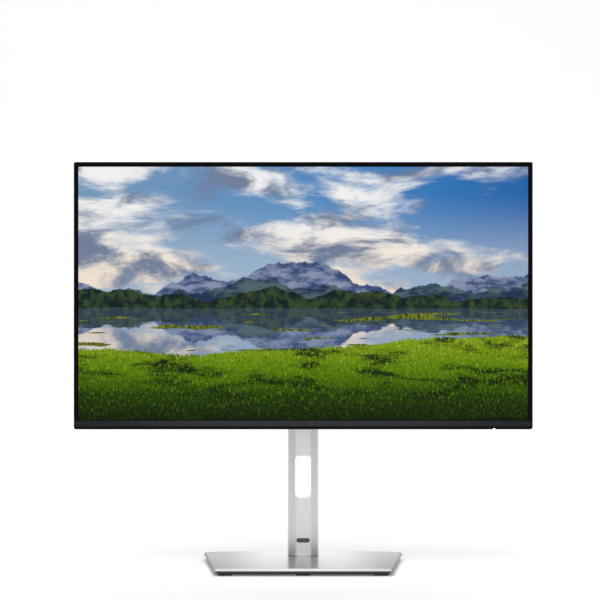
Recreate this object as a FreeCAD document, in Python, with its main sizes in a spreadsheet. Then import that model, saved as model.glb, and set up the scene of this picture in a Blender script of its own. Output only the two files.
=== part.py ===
import FreeCAD, Part
import math
import os
import Sketcher

# A 23.8-inch desktop computer monitor on a stand that lifts, tilts, swivels and
# turns its panel upright. X to the right, Y to the back, Z up, millimetres.
# The origin lies on the desk under the middle of the base.

SIZES = {
    # panel
    "panel_width": 537.8,
    "panel_height": 313.3,
    "picture_height": 296.46,
    "top_border": 5.57,
    "axis_height": 326,
    "panel_front": -45,
    "frame_back": -36,
    "cover_shoulder": -35,
    "cover_plateau": -29,
    "cover_back": 2,
    "shoulder_inset": 16,
    "corner_top": 2,
    "corner_bottom": 3,
    "cover_wall": 2.2,
    "bulge_foot_width": 380,
    "bulge_foot_top": 95,
    "bulge_foot_bottom": 125,
    "bulge_width": 300,
    "bulge_top": 70,
    "bulge_bottom": 95,
    "bulge_corner": 14,
    # frame, glass and chin
    "frame_lip": 1.5,
    "glass_depth": 1.7,
    "glass_thickness": 1.6,
    "shelf_width": 2.4,
    "chin_low": 3.5,
    "chin_high": 10.4,
    "chin_gap": 0.1,
    "chin_depth": 1.2,
    "chin_stand_out": 0.3,
    "led_x": 223.8,
    "led_width": 2.2,
    "led_height": 1.2,
    "led_depth": 3,
    # backlight layers
    "film_thickness": 0.3,
    "guide_thickness": 3,
    "chassis_thickness": 0.8,
    "film_play": 0.2,
    "led_bar_height": 1.4,
    # electronics
    "vesa_pitch": 100,
    "vesa_hole": 4,
    "vesa_boss": 10,
    "vesa_depth": 9.8,
    "bracket_width": 124,
    "bracket_plate": 1.2,
    "post_pitch": 116,
    "post_size": 7,
    "board_front": -24,
    "board_thickness": 1.6,
    "board_low": -80,
    "board_top": 50,
    "board_outer": 145,
    "board_split": 33,
    "board_gap": 6,
    "recess_width": 116,
    "recess_height": 120,
    "recess_depth": 4,
    "bay_width": 248,
    "bay_top": 84,
    "bay_front": -26,
    "bay_wall": 2,
    "connector_low": -92,
    # buttons
    "key_x": 238,
    "power_key_rise": 36,
    "stick_rise": 62,
    "power_key_size": 10,
    "stick_hole": 16,
    "stick_cap_size": 11,
    "stick_pivot": -34.3,
    "running_gap": 0.05,
    # head
    "tilt_axis": 13,
    "mount_width": 80,
    "mount_height": 116,
    "mount_thickness": 3.2,
    "hub_size": 48,
    "hub_front": 1.5,
    "hub_thickness": 4,
    "pivot_size": 24,
    "ear_inside": 20,
    "ear_thickness": 3,
    "ear_size": 14,
    "eye_size": 11,
    "eye_width": 24,
    "shaft_size": 6,
    "head_width": 64,
    "head_height": 60,
    # column
    "column_width": 37.5,
    "column_front": 29.3,
    "facet_half": 9.5,
    "facet_round": 6,
    "flank_depth": 9.7,
    "flank_lean": 1.2,
    "rear_chamfer": 4,
    "column_back": 59,
    "column_seam": 44,
    "column_low": 9.1,
    "column_top": 360,
    "cap_thickness": 4,
    "column_wall": 1.8,
    "column_foot_corner": 2,
    "slot_width": 19,
    "slot_low": 78,
    "slot_high": 130,
    "slot_corner": 5,
    "neck_slot_width": 17,
    "neck_slot_low": 184,
    "neck_slot_high": 350,
    "neck_width": 16,
    "rail_width": 32,
    "rail_wall": 1.3,
    "rail_front": 42,
    "rail_back": 55,
    "carriage_width": 26,
    "carriage_front": 42.5,
    "carriage_back": 52.5,
    "carriage_up": 17,
    "carriage_down": 30,
    "spool_drop": 18.5,
    "spool_size": 12,
    "spool_y": 46.5,
    "axle_size": 4,
    "strip_top": 356,
    # base
    "base_depth": 180,
    "base_front_width": 207,
    "base_rear_width": 243,
    "base_bow": 15,
    "foot_height": 1.8,
    "tray_top": 5.9,
    "base_top": 8.7,
    "plate_bevel": 1.6,
    "tray_inset": 0.3,
    "tray_taper": 5,
    "base_corner": 1.5,
    "bush_size": 32,
    "swivel_size": 25,
    "hub_flange": 31,
    "thumbscrew_size": 6,
    "thumbscrew_head": 14,
}


class Size:
    """A length that carries its value and the sheet expression behind it."""

    def __init__(self, value, text):
        self.value = value
        self.text = text

    def __add__(self, other):
        other = as_size(other)
        return Size(self.value + other.value, f"({self.text} + {other.text})")

    def __sub__(self, other):
        other = as_size(other)
        return Size(self.value - other.value, f"({self.text} - {other.text})")

    def __mul__(self, other):
        other = as_size(other)
        return Size(self.value * other.value, f"({self.text} * {other.text})")

    def __truediv__(self, other):
        other = as_size(other)
        return Size(self.value / other.value, f"({self.text} / {other.text})")

    def __neg__(self):
        return Size(-self.value, f"(0 - {self.text})")

    def __radd__(self, other):
        return as_size(other) + self

    def __rsub__(self, other):
        return as_size(other) - self

    def __rmul__(self, other):
        return as_size(other) * self


def as_size(number):
    if isinstance(number, Size):
        return number
    if number < 0:
        return Size(float(number), f"(0 - {abs(number):.4f})")
    return Size(float(number), f"{number:.4f}")


doc = FreeCAD.newDocument("monitor")
sheet = doc.addObject("Spreadsheet::Sheet", "Sizes")
for row, (alias, number) in enumerate(SIZES.items(), 1):
    sheet.set(f"A{row}", alias)
    sheet.set(f"B{row}", str(number))
    sheet.setAlias(f"B{row}", alias)
doc.recompute()

NODES = []


def dim(alias):
    return Size(float(SIZES[alias]), f"Sizes.{alias}")


def node(label, thing):
    """Keeps an object as a sub-part of its own, under the name of its file."""
    thing.Label = label
    NODES.append(thing)
    return thing


def bind(thing, prop, size):
    thing.setExpression(prop, as_size(size).text)


def place(thing, x, y, z):
    for letter, size in (("x", x), ("y", y), ("z", z)):
        bind(thing, f"Placement.Base.{letter}", size)


# ---- Part primitives ------------------------------------------------------


def block(x_low, x_high, y_low, y_high, z_low, z_high):
    box = doc.addObject("Part::Box", "block")
    bind(box, "Length", as_size(x_high) - x_low)
    bind(box, "Width", as_size(y_high) - y_low)
    bind(box, "Height", as_size(z_high) - z_low)
    place(box, x_low, y_low, z_low)
    return box


TURNS = {
    "x": FreeCAD.Rotation(FreeCAD.Vector(0, 1, 0), 90),
    "y": FreeCAD.Rotation(FreeCAD.Vector(1, 0, 0), -90),
    "z": FreeCAD.Rotation(),
}


def rod(axis, x, y, z, diameter, length):
    """A cylinder from one point along the positive direction of an axis."""
    bar = doc.addObject("Part::Cylinder", "rod")
    bar.Placement = FreeCAD.Placement(FreeCAD.Vector(), TURNS[axis])
    bind(bar, "Radius", as_size(diameter) / 2)
    bind(bar, "Height", length)
    place(bar, x, y, z)
    return bar


def ball(x, y, z, diameter):
    sphere = doc.addObject("Part::Sphere", "ball")
    bind(sphere, "Radius", as_size(diameter) / 2)
    place(sphere, x, y, z)
    return sphere


def group(things):
    bundle = doc.addObject("Part::Compound", "group")
    bundle.Links = things
    return bundle


def cut(base, *tools):
    result = doc.addObject("Part::Cut", "cut")
    result.Base = base
    result.Tool = tools[0] if len(tools) == 1 else group(list(tools))
    return result


def fuse(*things):
    result = doc.addObject("Part::MultiFuse", "fuse")
    result.Shapes = list(things)
    return result


def common(first, second):
    result = doc.addObject("Part::Common", "common")
    result.Base = first
    result.Tool = second
    return result


def rounded(thing, radius, wanted):
    """Rounds the edges of an object that a test picks out."""
    doc.recompute()
    smooth = doc.addObject("Part::Fillet", "rounded")
    smooth.Base = thing
    picked = []
    for number, edge in enumerate(thing.Shape.Edges, 1):
        if wanted(edge):
            picked.append((number, radius, radius))
    if not picked:
        raise RuntimeError(f"no edge to round on {thing.Name}")
    smooth.Edges = picked
    return smooth


def along(axis):
    """A test for straight edges that run along one axis."""

    def test(edge):
        spans = [edge.BoundBox.XLength, edge.BoundBox.YLength, edge.BoundBox.ZLength]
        mine = spans.pop("xyz".index(axis))
        return mine > 0.01 and max(spans) < 1e-6

    return test


# ---- PartDesign bodies ----------------------------------------------------


def new_body():
    return doc.addObject("PartDesign::Body", "piece")


def new_sketch(body, plane, level):
    """A sketch on one of the body's origin planes, moved to a level along its axis."""
    outline = body.newObject("Sketcher::SketchObject", "outline")
    role = {"z": "XY_Plane", "y": "XZ_Plane", "x": "YZ_Plane"}[plane]
    support = next(item for item in body.Origin.OriginFeatures if item.Role == role)
    outline.AttachmentSupport = [(support, "")]
    outline.MapMode = "FlatFace"
    level = as_size(level)
    bind(outline, "AttachmentOffset.Base.z", -level if plane == "y" else level)
    return outline


def fix_point(outline, piece, end, x, y):
    for kind, size in (("DistanceX", x), ("DistanceY", y)):
        size = as_size(size)
        rule = Sketcher.Constraint(kind, -1, 1, piece, end, size.value)
        number = outline.addConstraint(rule)
        outline.setExpression(f"Constraints[{number}]", size.text)


def fix_radius(outline, piece, size):
    size = as_size(size)
    number = outline.addConstraint(Sketcher.Constraint("Radius", piece, size.value))
    outline.setExpression(f"Constraints[{number}]", size.text)


def flat(x, y):
    return FreeCAD.Vector(as_size(x).value, as_size(y).value, 0)


def draw_polygon(outline, points):
    first = outline.GeometryCount
    count = len(points)
    for index in range(count):
        start = flat(*points[index])
        stop = flat(*points[(index + 1) % count])
        outline.addGeometry(Part.LineSegment(start, stop), False)
    for index in range(count):
        here = first + index
        after = first + (index + 1) % count
        outline.addConstraint(Sketcher.Constraint("Coincident", here, 2, after, 1))
    for index, (x, y) in enumerate(points):
        fix_point(outline, first + index, 1, x, y)


def draw_circle(outline, x, y, diameter):
    radius = as_size(diameter) / 2
    ring = Part.Circle(flat(x, y), FreeCAD.Vector(0, 0, 1), radius.value)
    piece = outline.addGeometry(ring, False)
    fix_radius(outline, piece, radius)
    fix_point(outline, piece, 3, x, y)


def draw_rounded(outline, x_low, x_high, y_low, y_high, low_radius, high_radius):
    """A rectangle with rounded corners: one radius below, one above."""
    lows = [as_size(x_low), as_size(y_low)]
    highs = [as_size(x_high), as_size(y_high)]
    below = as_size(low_radius)
    above = as_size(high_radius)
    corners = [
        (lows[0] + below, lows[1] + below, below, 180),
        (highs[0] - below, lows[1] + below, below, 270),
        (highs[0] - above, highs[1] - above, above, 0),
        (lows[0] + above, highs[1] - above, above, 90),
    ]
    first = outline.GeometryCount
    for x, y, radius, start in corners:
        ring = Part.Circle(flat(x, y), FreeCAD.Vector(0, 0, 1), radius.value)
        begin = math.radians(start)
        outline.addGeometry(Part.ArcOfCircle(ring, begin, begin + math.pi / 2), False)
    sides = [
        (lows[0] + below, lows[1], highs[0] - below, lows[1]),
        (highs[0], lows[1] + below, highs[0], highs[1] - above),
        (highs[0] - above, highs[1], lows[0] + above, highs[1]),
        (lows[0], highs[1] - above, lows[0], lows[1] + below),
    ]
    for x_start, y_start, x_stop, y_stop in sides:
        line = Part.LineSegment(flat(x_start, y_start), flat(x_stop, y_stop))
        outline.addGeometry(line, False)
    for index in range(4):
        arc = first + index
        side = first + 4 + index
        next_arc = first + (index + 1) % 4
        outline.addConstraint(Sketcher.Constraint("Tangent", arc, 2, side, 1))
        outline.addConstraint(Sketcher.Constraint("Tangent", side, 2, next_arc, 1))
        direction = "Horizontal" if index % 2 == 0 else "Vertical"
        outline.addConstraint(Sketcher.Constraint(direction, side))
    for index, (x, y, radius, start) in enumerate(corners):
        fix_radius(outline, first + index, radius)
    for index, kind, size in (
        (0, "DistanceY", lows[1]),
        (1, "DistanceX", highs[0]),
        (2, "DistanceY", highs[1]),
        (3, "DistanceX", lows[0]),
    ):
        rule = Sketcher.Constraint(kind, -1, 1, first + 4 + index, 1, size.value)
        number = outline.addConstraint(rule)
        outline.setExpression(f"Constraints[{number}]", size.text)


def pad(body, outline, plane, length):
    """Adds a solid from the sketch towards the positive end of the plane's axis."""
    feature = body.newObject("PartDesign::Pad", "pad")
    feature.Profile = outline
    feature.Reversed = plane == "y"
    bind(feature, "Length", length)
    return feature


def pocket(body, outline, plane, length):
    """Cuts from the sketch towards the positive end of the plane's axis."""
    doc.recompute()
    before = body.Shape.Volume
    feature = body.newObject("PartDesign::Pocket", "pocket")
    feature.Profile = outline
    feature.Reversed = plane != "y"
    bind(feature, "Length", length)
    doc.recompute()
    if body.Shape.Volume > before - 0.01:
        raise RuntimeError("a pocket cut nothing")
    return feature


def loft(body, kind, outlines):
    feature = body.newObject(f"PartDesign::{kind}Loft", "loft")
    feature.Profile = outlines[0]
    feature.Sections = outlines[1:]
    feature.Ruled = True
    return feature


def round_body(body, radius, wanted):
    """A fillet feature on the body's edges that a test picks out."""
    doc.recompute()
    base = body.Tip
    names = []
    for number, edge in enumerate(body.Shape.Edges, 1):
        if wanted(edge):
            names.append(f"Edge{number}")
    if not names:
        raise RuntimeError("no edge to round")
    feature = body.newObject("PartDesign::Fillet", "fillet")
    feature.Base = (base, names)
    feature.Radius = as_size(radius).value
    if isinstance(radius, Size):
        bind(feature, "Radius", radius)
    return feature


def slab(plane, level, thickness, draw):
    """A body of one pad; draw gets the empty sketch."""
    body = new_body()
    outline = new_sketch(body, plane, level)
    draw(outline)
    pad(body, outline, plane, thickness)
    return body


def carve(body, plane, level, depth, draw):
    outline = new_sketch(body, plane, level)
    draw(outline)
    pocket(body, outline, plane, depth)


# ---- shared levels --------------------------------------------------------

AXIS = dim("axis_height")
PANEL_TOP = AXIS + dim("picture_height") / 2 + dim("top_border")
PANEL_LOW = PANEL_TOP - dim("panel_height")
HALF_PANEL = dim("panel_width") / 2
GLASS_HALF = HALF_PANEL - dim("frame_lip")
GLASS_TOP = PANEL_TOP - dim("frame_lip")
CHIN_LOW = PANEL_LOW + dim("chin_low")
CHIN_HIGH = PANEL_LOW + dim("chin_high")
SHELF = dim("panel_front") + dim("glass_depth")
STACK_HALF = GLASS_HALF - dim("shelf_width")
STACK_TOP = GLASS_TOP - dim("shelf_width")
STACK_LOW = CHIN_HIGH + dim("shelf_width")
STACK_DEPTH = 4 * dim("film_thickness") + dim("guide_thickness")
CHASSIS_BACK = SHELF + STACK_DEPTH + dim("chassis_thickness")
RECESS_FLOOR = dim("cover_back") - dim("recess_depth")
BRACKET_BACK = RECESS_FLOOR - dim("cover_wall")
BOARD_BACK = dim("board_front") + dim("board_thickness")
SWIVEL_Y = dim("column_seam")
FOOT_PLANE = dim("foot_height")
POWER_KEY_Z = PANEL_LOW + dim("power_key_rise")
STICK_Z = PANEL_LOW + dim("stick_rise")

# lengths that only need to be generous
PAST = 1
THROUGH = 20


# ---- base -----------------------------------------------------------------


def draw_base(outline, inset):
    """The base seen from above: straight front, wider bowed back."""
    inset = as_size(inset)
    front = inset - dim("base_depth") / 2
    rear = dim("base_depth") / 2 - dim("base_bow") - inset
    front_half = dim("base_front_width") / 2 - inset
    rear_half = dim("base_rear_width") / 2 - inset
    bow = dim("base_bow")
    radius = (rear_half * rear_half + bow * bow) / (2 * bow)
    corners = [(rear_half, rear), (front_half, front), (-front_half, front), (-rear_half, rear)]
    for start, stop in zip(corners, corners[1:]):
        outline.addGeometry(Part.LineSegment(flat(*start), flat(*stop)), False)
    middle = rear + bow - radius
    swing = math.asin(rear_half.value / radius.value)
    ring = Part.Circle(flat(0, middle), FreeCAD.Vector(0, 0, 1), radius.value)
    top = math.pi / 2
    outline.addGeometry(Part.ArcOfCircle(ring, top - swing, top + swing), False)
    outline.addConstraint(Sketcher.Constraint("Coincident", 0, 2, 1, 1))
    outline.addConstraint(Sketcher.Constraint("Coincident", 1, 2, 2, 1))
    outline.addConstraint(Sketcher.Constraint("Coincident", 2, 2, 3, 2))
    outline.addConstraint(Sketcher.Constraint("Coincident", 3, 1, 0, 1))
    fix_point(outline, 0, 1, *corners[0])
    fix_point(outline, 1, 1, *corners[1])
    fix_point(outline, 2, 1, *corners[2])
    fix_point(outline, 2, 2, *corners[3])
    fix_radius(outline, 3, radius)


def base_layer(low, inset, depth, taper):
    """A plate of the base whose side leans in (or out, for a negative taper) upwards."""
    body = new_body()
    outline = new_sketch(body, "z", low)
    draw_base(outline, inset)
    feature = pad(body, outline, "z", depth)
    feature.TaperAngle = -math.degrees(math.atan2(taper.value, depth.value))
    doc.recompute()

    def upright(edge):
        return edge.BoundBox.ZLength > depth.value - 0.01

    round_body(body, dim("base_corner"), upright)
    return body


def draw_bush_hole(outline):
    draw_circle(outline, 0, SWIVEL_Y, dim("bush_size"))


def make_base_top_plate():
    low = dim("tray_top")
    depth = dim("base_top") - low
    body = base_layer(low, 0, depth, dim("plate_bevel"))
    carve(body, "z", low, depth, draw_bush_hole)
    node("base_top_plate", body)


TRAY_SCREWS = [(-80, -60), (80, -60), (-92, 55), (92, 55), (0, -60)]
TRAY_SCREW = 3
TRAY_SCREW_HEAD = 6
TRAY_SCREW_SEAT = 1.4


def make_base_tray():
    depth = dim("tray_top") - FOOT_PLANE
    lean = dim("tray_inset") - dim("tray_taper")
    body = base_layer(FOOT_PLANE, dim("tray_taper"), depth, lean)
    carve(body, "z", FOOT_PLANE, depth, draw_bush_hole)
    for x, y in TRAY_SCREWS:
        carve(body, "z", FOOT_PLANE, depth, lambda o: draw_circle(o, x, y, TRAY_SCREW))
        carve(body, "z", FOOT_PLANE, TRAY_SCREW_SEAT, lambda o: draw_circle(o, x, y, TRAY_SCREW_HEAD))
    node("base_tray", body)


def make_tray_screws():
    sunk = 0.2
    socket_size = 2.4
    socket_depth = 0.9
    seat = FOOT_PLANE + TRAY_SCREW_SEAT
    screws = []
    for x, y in TRAY_SCREWS:
        head = rod("z", x, y, FOOT_PLANE + sunk, TRAY_SCREW_HEAD, TRAY_SCREW_SEAT - sunk)
        shank = rod("z", x, y, seat, TRAY_SCREW, dim("tray_top") - seat)
        socket = rod("z", x, y, FOOT_PLANE, socket_size, socket_depth)
        screws.append(cut(fuse(head, shank), socket))
    node("tray_screws", group(screws))


FOOT_SPOTS = [(-90.5, -79), (0, -79), (90.5, -79), (-98, 62), (98, 62)]


def make_foot_pads():
    half_long = 8
    half_wide = 5
    corner = 3
    pads = []
    for x, y in FOOT_SPOTS:
        rubber = block(x - half_long, x + half_long, y - half_wide, y + half_wide, 0, FOOT_PLANE)
        pads.append(rounded(rubber, corner, along("z")))
    node("foot_pads", group(pads))


def make_swivel_bush():
    low = 3.5
    depth = 5.4
    bore = dim("swivel_size") + 2 * dim("running_gap")
    ring = slab("z", low, depth, draw_bush_hole)
    carve(ring, "z", low, depth, lambda o: draw_circle(o, 0, SWIVEL_Y, bore))
    node("swivel_bush", ring)


# ---- column ---------------------------------------------------------------


def front_section(inset):
    """Half of the column's cross-section, from the seam round the front."""
    inset = as_size(inset)
    half = dim("column_width") / 2 - inset
    front = dim("column_front")
    side = [
        (half, dim("column_seam")),
        (half - dim("flank_lean"), front + dim("flank_depth") + inset / 2),
        (dim("facet_half") - inset / 2, front + inset),
    ]
    return side + [(-x, y) for x, y in reversed(side)]


def rear_section(inset):
    inset = as_size(inset)
    half = dim("column_width") / 2 - inset
    back = dim("column_back") - inset
    chamfer = dim("rear_chamfer") - inset / 2
    side = [
        (half, dim("column_seam")),
        (half, back - chamfer),
        (half - chamfer, back),
    ]
    return [(-x, y) for x, y in side] + list(reversed(side))


def soften_column(body):
    """Rounds the upright edges, except those at the seam."""
    seam = dim("column_seam").value
    upright = along("z")
    round_body(
        body, dim("facet_round"),
        lambda edge: upright(edge) and abs(edge.BoundBox.Center.y - seam) > PAST,
    )


def column_shell(section):
    """A thin shell along the column, open at the seam."""
    low = dim("column_low")
    tall = dim("column_top") - low
    body = slab("z", low, tall, lambda o: draw_polygon(o, section(0)))
    soften_column(body)
    carve(body, "z", low, tall, lambda o: draw_polygon(o, section(dim("column_wall"))))
    return body


def column_solid(low, tall):
    """The column's full outside between two levels."""
    outline = front_section(0)[:-1] + rear_section(0)[:-1]
    body = slab("z", low, tall, lambda o: draw_polygon(o, outline))
    soften_column(body)
    return body


def column_silhouette():
    """The column's front view, which rounds the shell's bottom corners."""
    half = dim("column_width") / 2
    corner = dim("column_foot_corner")
    high = dim("column_top") + THROUGH
    depth = dim("column_back") - dim("column_front") + 2 * PAST

    def draw(outline):
        draw_rounded(outline, -half, half, dim("column_low"), high, corner, corner)

    return slab("y", dim("column_front") - PAST, depth, draw)


SLOT_LINING = 1


def draw_cable_slot(outline, margin):
    half = dim("slot_width") / 2 + margin
    corner = dim("slot_corner")
    low = dim("slot_low") - margin
    high = dim("slot_high") + margin
    draw_rounded(outline, -half, half, low, high, corner, corner)


def badge_block(front):
    half = 8
    low = 25.3
    high = 30.7
    corner = 2.6
    back = dim("column_front") + 0.6
    return rounded(block(-half, half, front, back, low, high), corner, along("y"))


def make_column_front_cover():
    body = column_shell(front_section)
    front = dim("column_front") - PAST
    carve(body, "y", front, THROUGH, lambda o: draw_cable_slot(o, SLOT_LINING))
    half = dim("neck_slot_width") / 2
    corner = 3

    def draw_neck_slot(outline):
        low = dim("neck_slot_low")
        draw_rounded(outline, -half, half, low, dim("neck_slot_high"), corner, corner)

    carve(body, "y", front, THROUGH, draw_neck_slot)
    node("column_front_cover", cut(common(body, column_silhouette()), badge_block(front)))


def make_column_badge():
    stand_out = 0.2
    node("column_badge", badge_block(dim("column_front") - stand_out))


def make_column_rear_cover():
    body = column_shell(rear_section)
    carve(body, "y", dim("column_seam"), THROUGH, lambda o: draw_cable_slot(o, SLOT_LINING))
    node("column_rear_cover", common(body, column_silhouette()))


def make_column_top_cap():
    edge_round = 1.2
    body = column_solid(dim("column_top"), dim("cap_thickness"))
    top = dim("column_top").value + dim("cap_thickness").value
    round_body(body, edge_round, lambda edge: edge.BoundBox.ZMin > top - 0.01)
    node("column_top_cap", body)


def make_cable_slot_collar():
    """A lining through the column, flush with its front and back."""
    front = dim("column_front")
    depth = dim("column_back") - front
    body = slab("y", front, depth, lambda o: draw_cable_slot(o, SLOT_LINING))
    carve(body, "y", front, depth, lambda o: draw_cable_slot(o, 0))
    low = dim("slot_low") - THROUGH
    tall = dim("slot_high") + THROUGH - low
    node("cable_slot_collar", common(body, column_solid(low, tall)))


def make_rail_channel():
    half = dim("rail_width") / 2
    wall = dim("rail_wall")
    front = dim("rail_front")
    back = dim("rail_back")
    low = 14
    top_gap = 2
    slot_margin = 1.2

    def draw(outline):
        draw_polygon(
            outline,
            [
                (-half, front),
                (-half, back),
                (half, back),
                (half, front),
                (half - wall, front),
                (half - wall, back - wall),
                (wall - half, back - wall),
                (wall - half, front),
            ],
        )

    body = slab("z", low, dim("column_top") - top_gap - low, draw)
    carve(body, "y", back - 2 * wall, THROUGH, lambda o: draw_cable_slot(o, slot_margin))
    node("rail_channel", body)


HUB_LOW = 2.4
HUB_HEIGHT = 7
HUB_TOP = HUB_LOW + HUB_HEIGHT
FOOT_SCREW = 4
FOOT_SCREW_HEAD = 7
FOOT_SCREW_SEAT = HUB_LOW + 1.5
FOOT_SCREW_LENGTH = 14
FOOT_BLOCK_TOP = 36


def screw_spots():
    reach = 8.3
    for degrees in (30, 150, 270):
        angle = math.radians(degrees)
        yield reach * math.cos(angle), SWIVEL_Y + reach * math.sin(angle)


def make_column_foot_block():
    half = dim("rail_width") / 2 - dim("rail_wall")
    nose_half = 10
    nose_front = 35.5
    front = 40.6
    back = 53.6
    nose = block(-nose_half, nose_half, nose_front, front, HUB_TOP, FOOT_BLOCK_TOP)
    main = block(-half, half, front, back, HUB_TOP, FOOT_BLOCK_TOP)
    screw_bore = dim("thumbscrew_size") + 2 * dim("running_gap")
    tools = [rod("z", 0, SWIVEL_Y, HUB_TOP - PAST, screw_bore, FOOT_BLOCK_TOP)]
    for x, y in screw_spots():
        tools.append(rod("z", x, y, HUB_TOP - PAST, FOOT_SCREW, 12 + PAST))
    node("column_foot_block", cut(fuse(nose, main), *tools))


def make_swivel_hub():
    flange_depth = 1
    play = 0.4
    shaft = rod("z", 0, SWIVEL_Y, HUB_LOW, dim("swivel_size"), HUB_HEIGHT)
    flange = rod("z", 0, SWIVEL_Y, HUB_LOW, dim("hub_flange"), flange_depth)
    low = HUB_LOW - PAST
    tools = [rod("z", 0, SWIVEL_Y, low, dim("thumbscrew_size") + play, THROUGH)]
    for x, y in screw_spots():
        tools.append(rod("z", x, y, low, FOOT_SCREW, THROUGH))
        tools.append(rod("z", x, y, low, FOOT_SCREW_HEAD, FOOT_SCREW_SEAT - low))
    node("swivel_hub", cut(fuse(shaft, flange), *tools))


def make_foot_screws():
    sunk = 0.05
    socket_size = 2.5
    socket_depth = 1
    head_low = HUB_LOW + sunk
    screws = []
    for x, y in screw_spots():
        head = rod("z", x, y, head_low, FOOT_SCREW_HEAD, FOOT_SCREW_SEAT - head_low)
        shank = rod("z", x, y, FOOT_SCREW_SEAT, FOOT_SCREW, FOOT_SCREW_LENGTH)
        socket = rod("z", x, y, HUB_LOW, socket_size, socket_depth)
        screws.append(cut(fuse(head, shank), socket))
    node("foot_screws", group(screws))


SCREW_HEAD_LOW = 0.9
SCREW_HEAD_TOP = 2
BAIL_PIN_Z = 1.45


def make_thumbscrew_washer():
    size = 14.4
    play = 0.2
    disc = rod("z", 0, SWIVEL_Y, SCREW_HEAD_TOP, size, HUB_LOW - SCREW_HEAD_TOP)
    bore = rod("z", 0, SWIVEL_Y, PAST, dim("thumbscrew_size") + play, THROUGH)
    node("thumbscrew_washer", cut(disc, bore))


def make_thumbscrew():
    shank_length = 18
    slot_half_long = 4.5
    slot_half_wide = 0.6
    slot_top = 1.5
    pin_bore = 0.7
    head_size = dim("thumbscrew_head")
    head = rod("z", 0, SWIVEL_Y, SCREW_HEAD_LOW, head_size, SCREW_HEAD_TOP - SCREW_HEAD_LOW)
    shank = rod("z", 0, SWIVEL_Y, SCREW_HEAD_TOP, dim("thumbscrew_size"), shank_length)
    near = SWIVEL_Y - slot_half_wide
    far = SWIVEL_Y + slot_half_wide
    slot = block(-slot_half_long, slot_half_long, near, far, 0, slot_top)
    pin_hole = rod("x", -THROUGH / 2, SWIVEL_Y, BAIL_PIN_Z, pin_bore, THROUGH)
    node("thumbscrew", cut(fuse(head, shank), slot, pin_hole))


def make_thumbscrew_bail():
    """A half ring folded flat round the screw's head, with two pins into it."""
    outside = 18
    inside = 14.6
    low = 1.05
    thick = 0.8
    pin_size = 0.6
    pin_inner = 5.4
    pin_outer = 8
    outer = rod("z", 0, SWIVEL_Y, low, outside, thick)
    inner = rod("z", 0, SWIVEL_Y, 0, inside, THROUGH)
    rear = block(-THROUGH, THROUGH, SWIVEL_Y + thick, SWIVEL_Y + THROUGH, 0, THROUGH)
    ring = cut(outer, inner, rear)
    pins = []
    for start in (-pin_outer, pin_inner):
        pins.append(rod("x", start, SWIVEL_Y, BAIL_PIN_Z, pin_size, pin_outer - pin_inner))
    node("thumbscrew_bail", fuse(ring, *pins))


# ---- carriage -------------------------------------------------------------

SPOOL_Z = AXIS - dim("spool_drop")


def make_carriage():
    half = dim("carriage_width") / 2
    front = dim("carriage_front")
    back = dim("carriage_back")
    axis_y = dim("tilt_axis")
    body = block(-half, half, front, back, AXIS - dim("carriage_down"), AXIS + dim("carriage_up"))
    neck_half = dim("neck_width") / 2
    rise = dim("eye_size") / 2
    neck = block(-neck_half, neck_half, axis_y, front + PAST, AXIS - rise, AXIS + rise)
    eye_half = dim("eye_width") / 2
    eye = rod("x", -eye_half, axis_y, AXIS, dim("eye_size"), 2 * eye_half)
    bore = dim("shaft_size") + 2 * dim("running_gap")
    window_half = 7.5
    window_rise = 8
    window = block(
        -window_half, window_half, front - PAST, back + PAST, SPOOL_Z - window_rise, SPOOL_Z + window_rise
    )
    tools = [
        rod("x", -THROUGH, axis_y, AXIS, bore, 2 * THROUGH),
        window,
        rod("x", -THROUGH, dim("spool_y"), SPOOL_Z, dim("axle_size"), 2 * THROUGH),
    ]
    node("carriage", cut(fuse(body, neck, eye), *tools))


def make_slider_pads():
    inside = dim("carriage_width") / 2
    outside = dim("rail_width") / 2 - dim("rail_wall") - dim("running_gap")
    near = dim("carriage_front") + 1
    far = dim("carriage_back") - 1
    length = 10
    starts = (AXIS - dim("carriage_down") + 4, AXIS + dim("carriage_up") - 1 - length)
    pads = []
    for low in starts:
        for left, right in ((inside, outside), (-outside, -inside)):
            pads.append(block(left, right, near, far, low, low + length))
    node("slider_pads", group(pads))


def make_spool_axle():
    half = dim("carriage_width") / 2
    node("spool_axle", rod("x", -half, dim("spool_y"), SPOOL_Z, dim("axle_size"), 2 * half))


def make_spring_coil():
    half = 6.5
    eye_size = 1.4
    eye_reach = 3.9
    axis_y = dim("spool_y")
    drum = rod("x", -half, axis_y, SPOOL_Z, dim("spool_size"), 2 * half)
    bore = dim("axle_size") + 2 * dim("running_gap")
    tools = [rod("x", -THROUGH, axis_y, SPOOL_Z, bore, 2 * THROUGH)]
    for quarter in range(4):
        angle = math.radians(90 * quarter)
        y = axis_y + eye_reach * math.cos(angle)
        z = SPOOL_Z + eye_reach * math.sin(angle)
        tools.append(rod("x", -THROUGH, y, z, eye_size, 2 * THROUGH))
    node("spring_coil", cut(drum, *tools))


def make_spring_strip():
    half = 5
    thick = 0.3
    y = dim("spool_y") + dim("spool_size") / 2 + dim("running_gap")
    node("spring_strip", block(-half, half, y, y + thick, SPOOL_Z, dim("strip_top")))


# ---- head -----------------------------------------------------------------

HUB_BACK = dim("hub_front") + dim("hub_thickness")
EAR_OUTSIDE = dim("ear_inside") + dim("ear_thickness")


def make_pivot_hub():
    front = dim("hub_front")
    thick = dim("hub_thickness")
    bore = dim("pivot_size") + 2 * dim("running_gap")
    disc = slab("y", front, thick, lambda o: draw_circle(o, 0, AXIS, dim("hub_size")))
    carve(disc, "y", front, thick, lambda o: draw_circle(o, 0, AXIS, bore))
    node("pivot_hub", disc)


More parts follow.
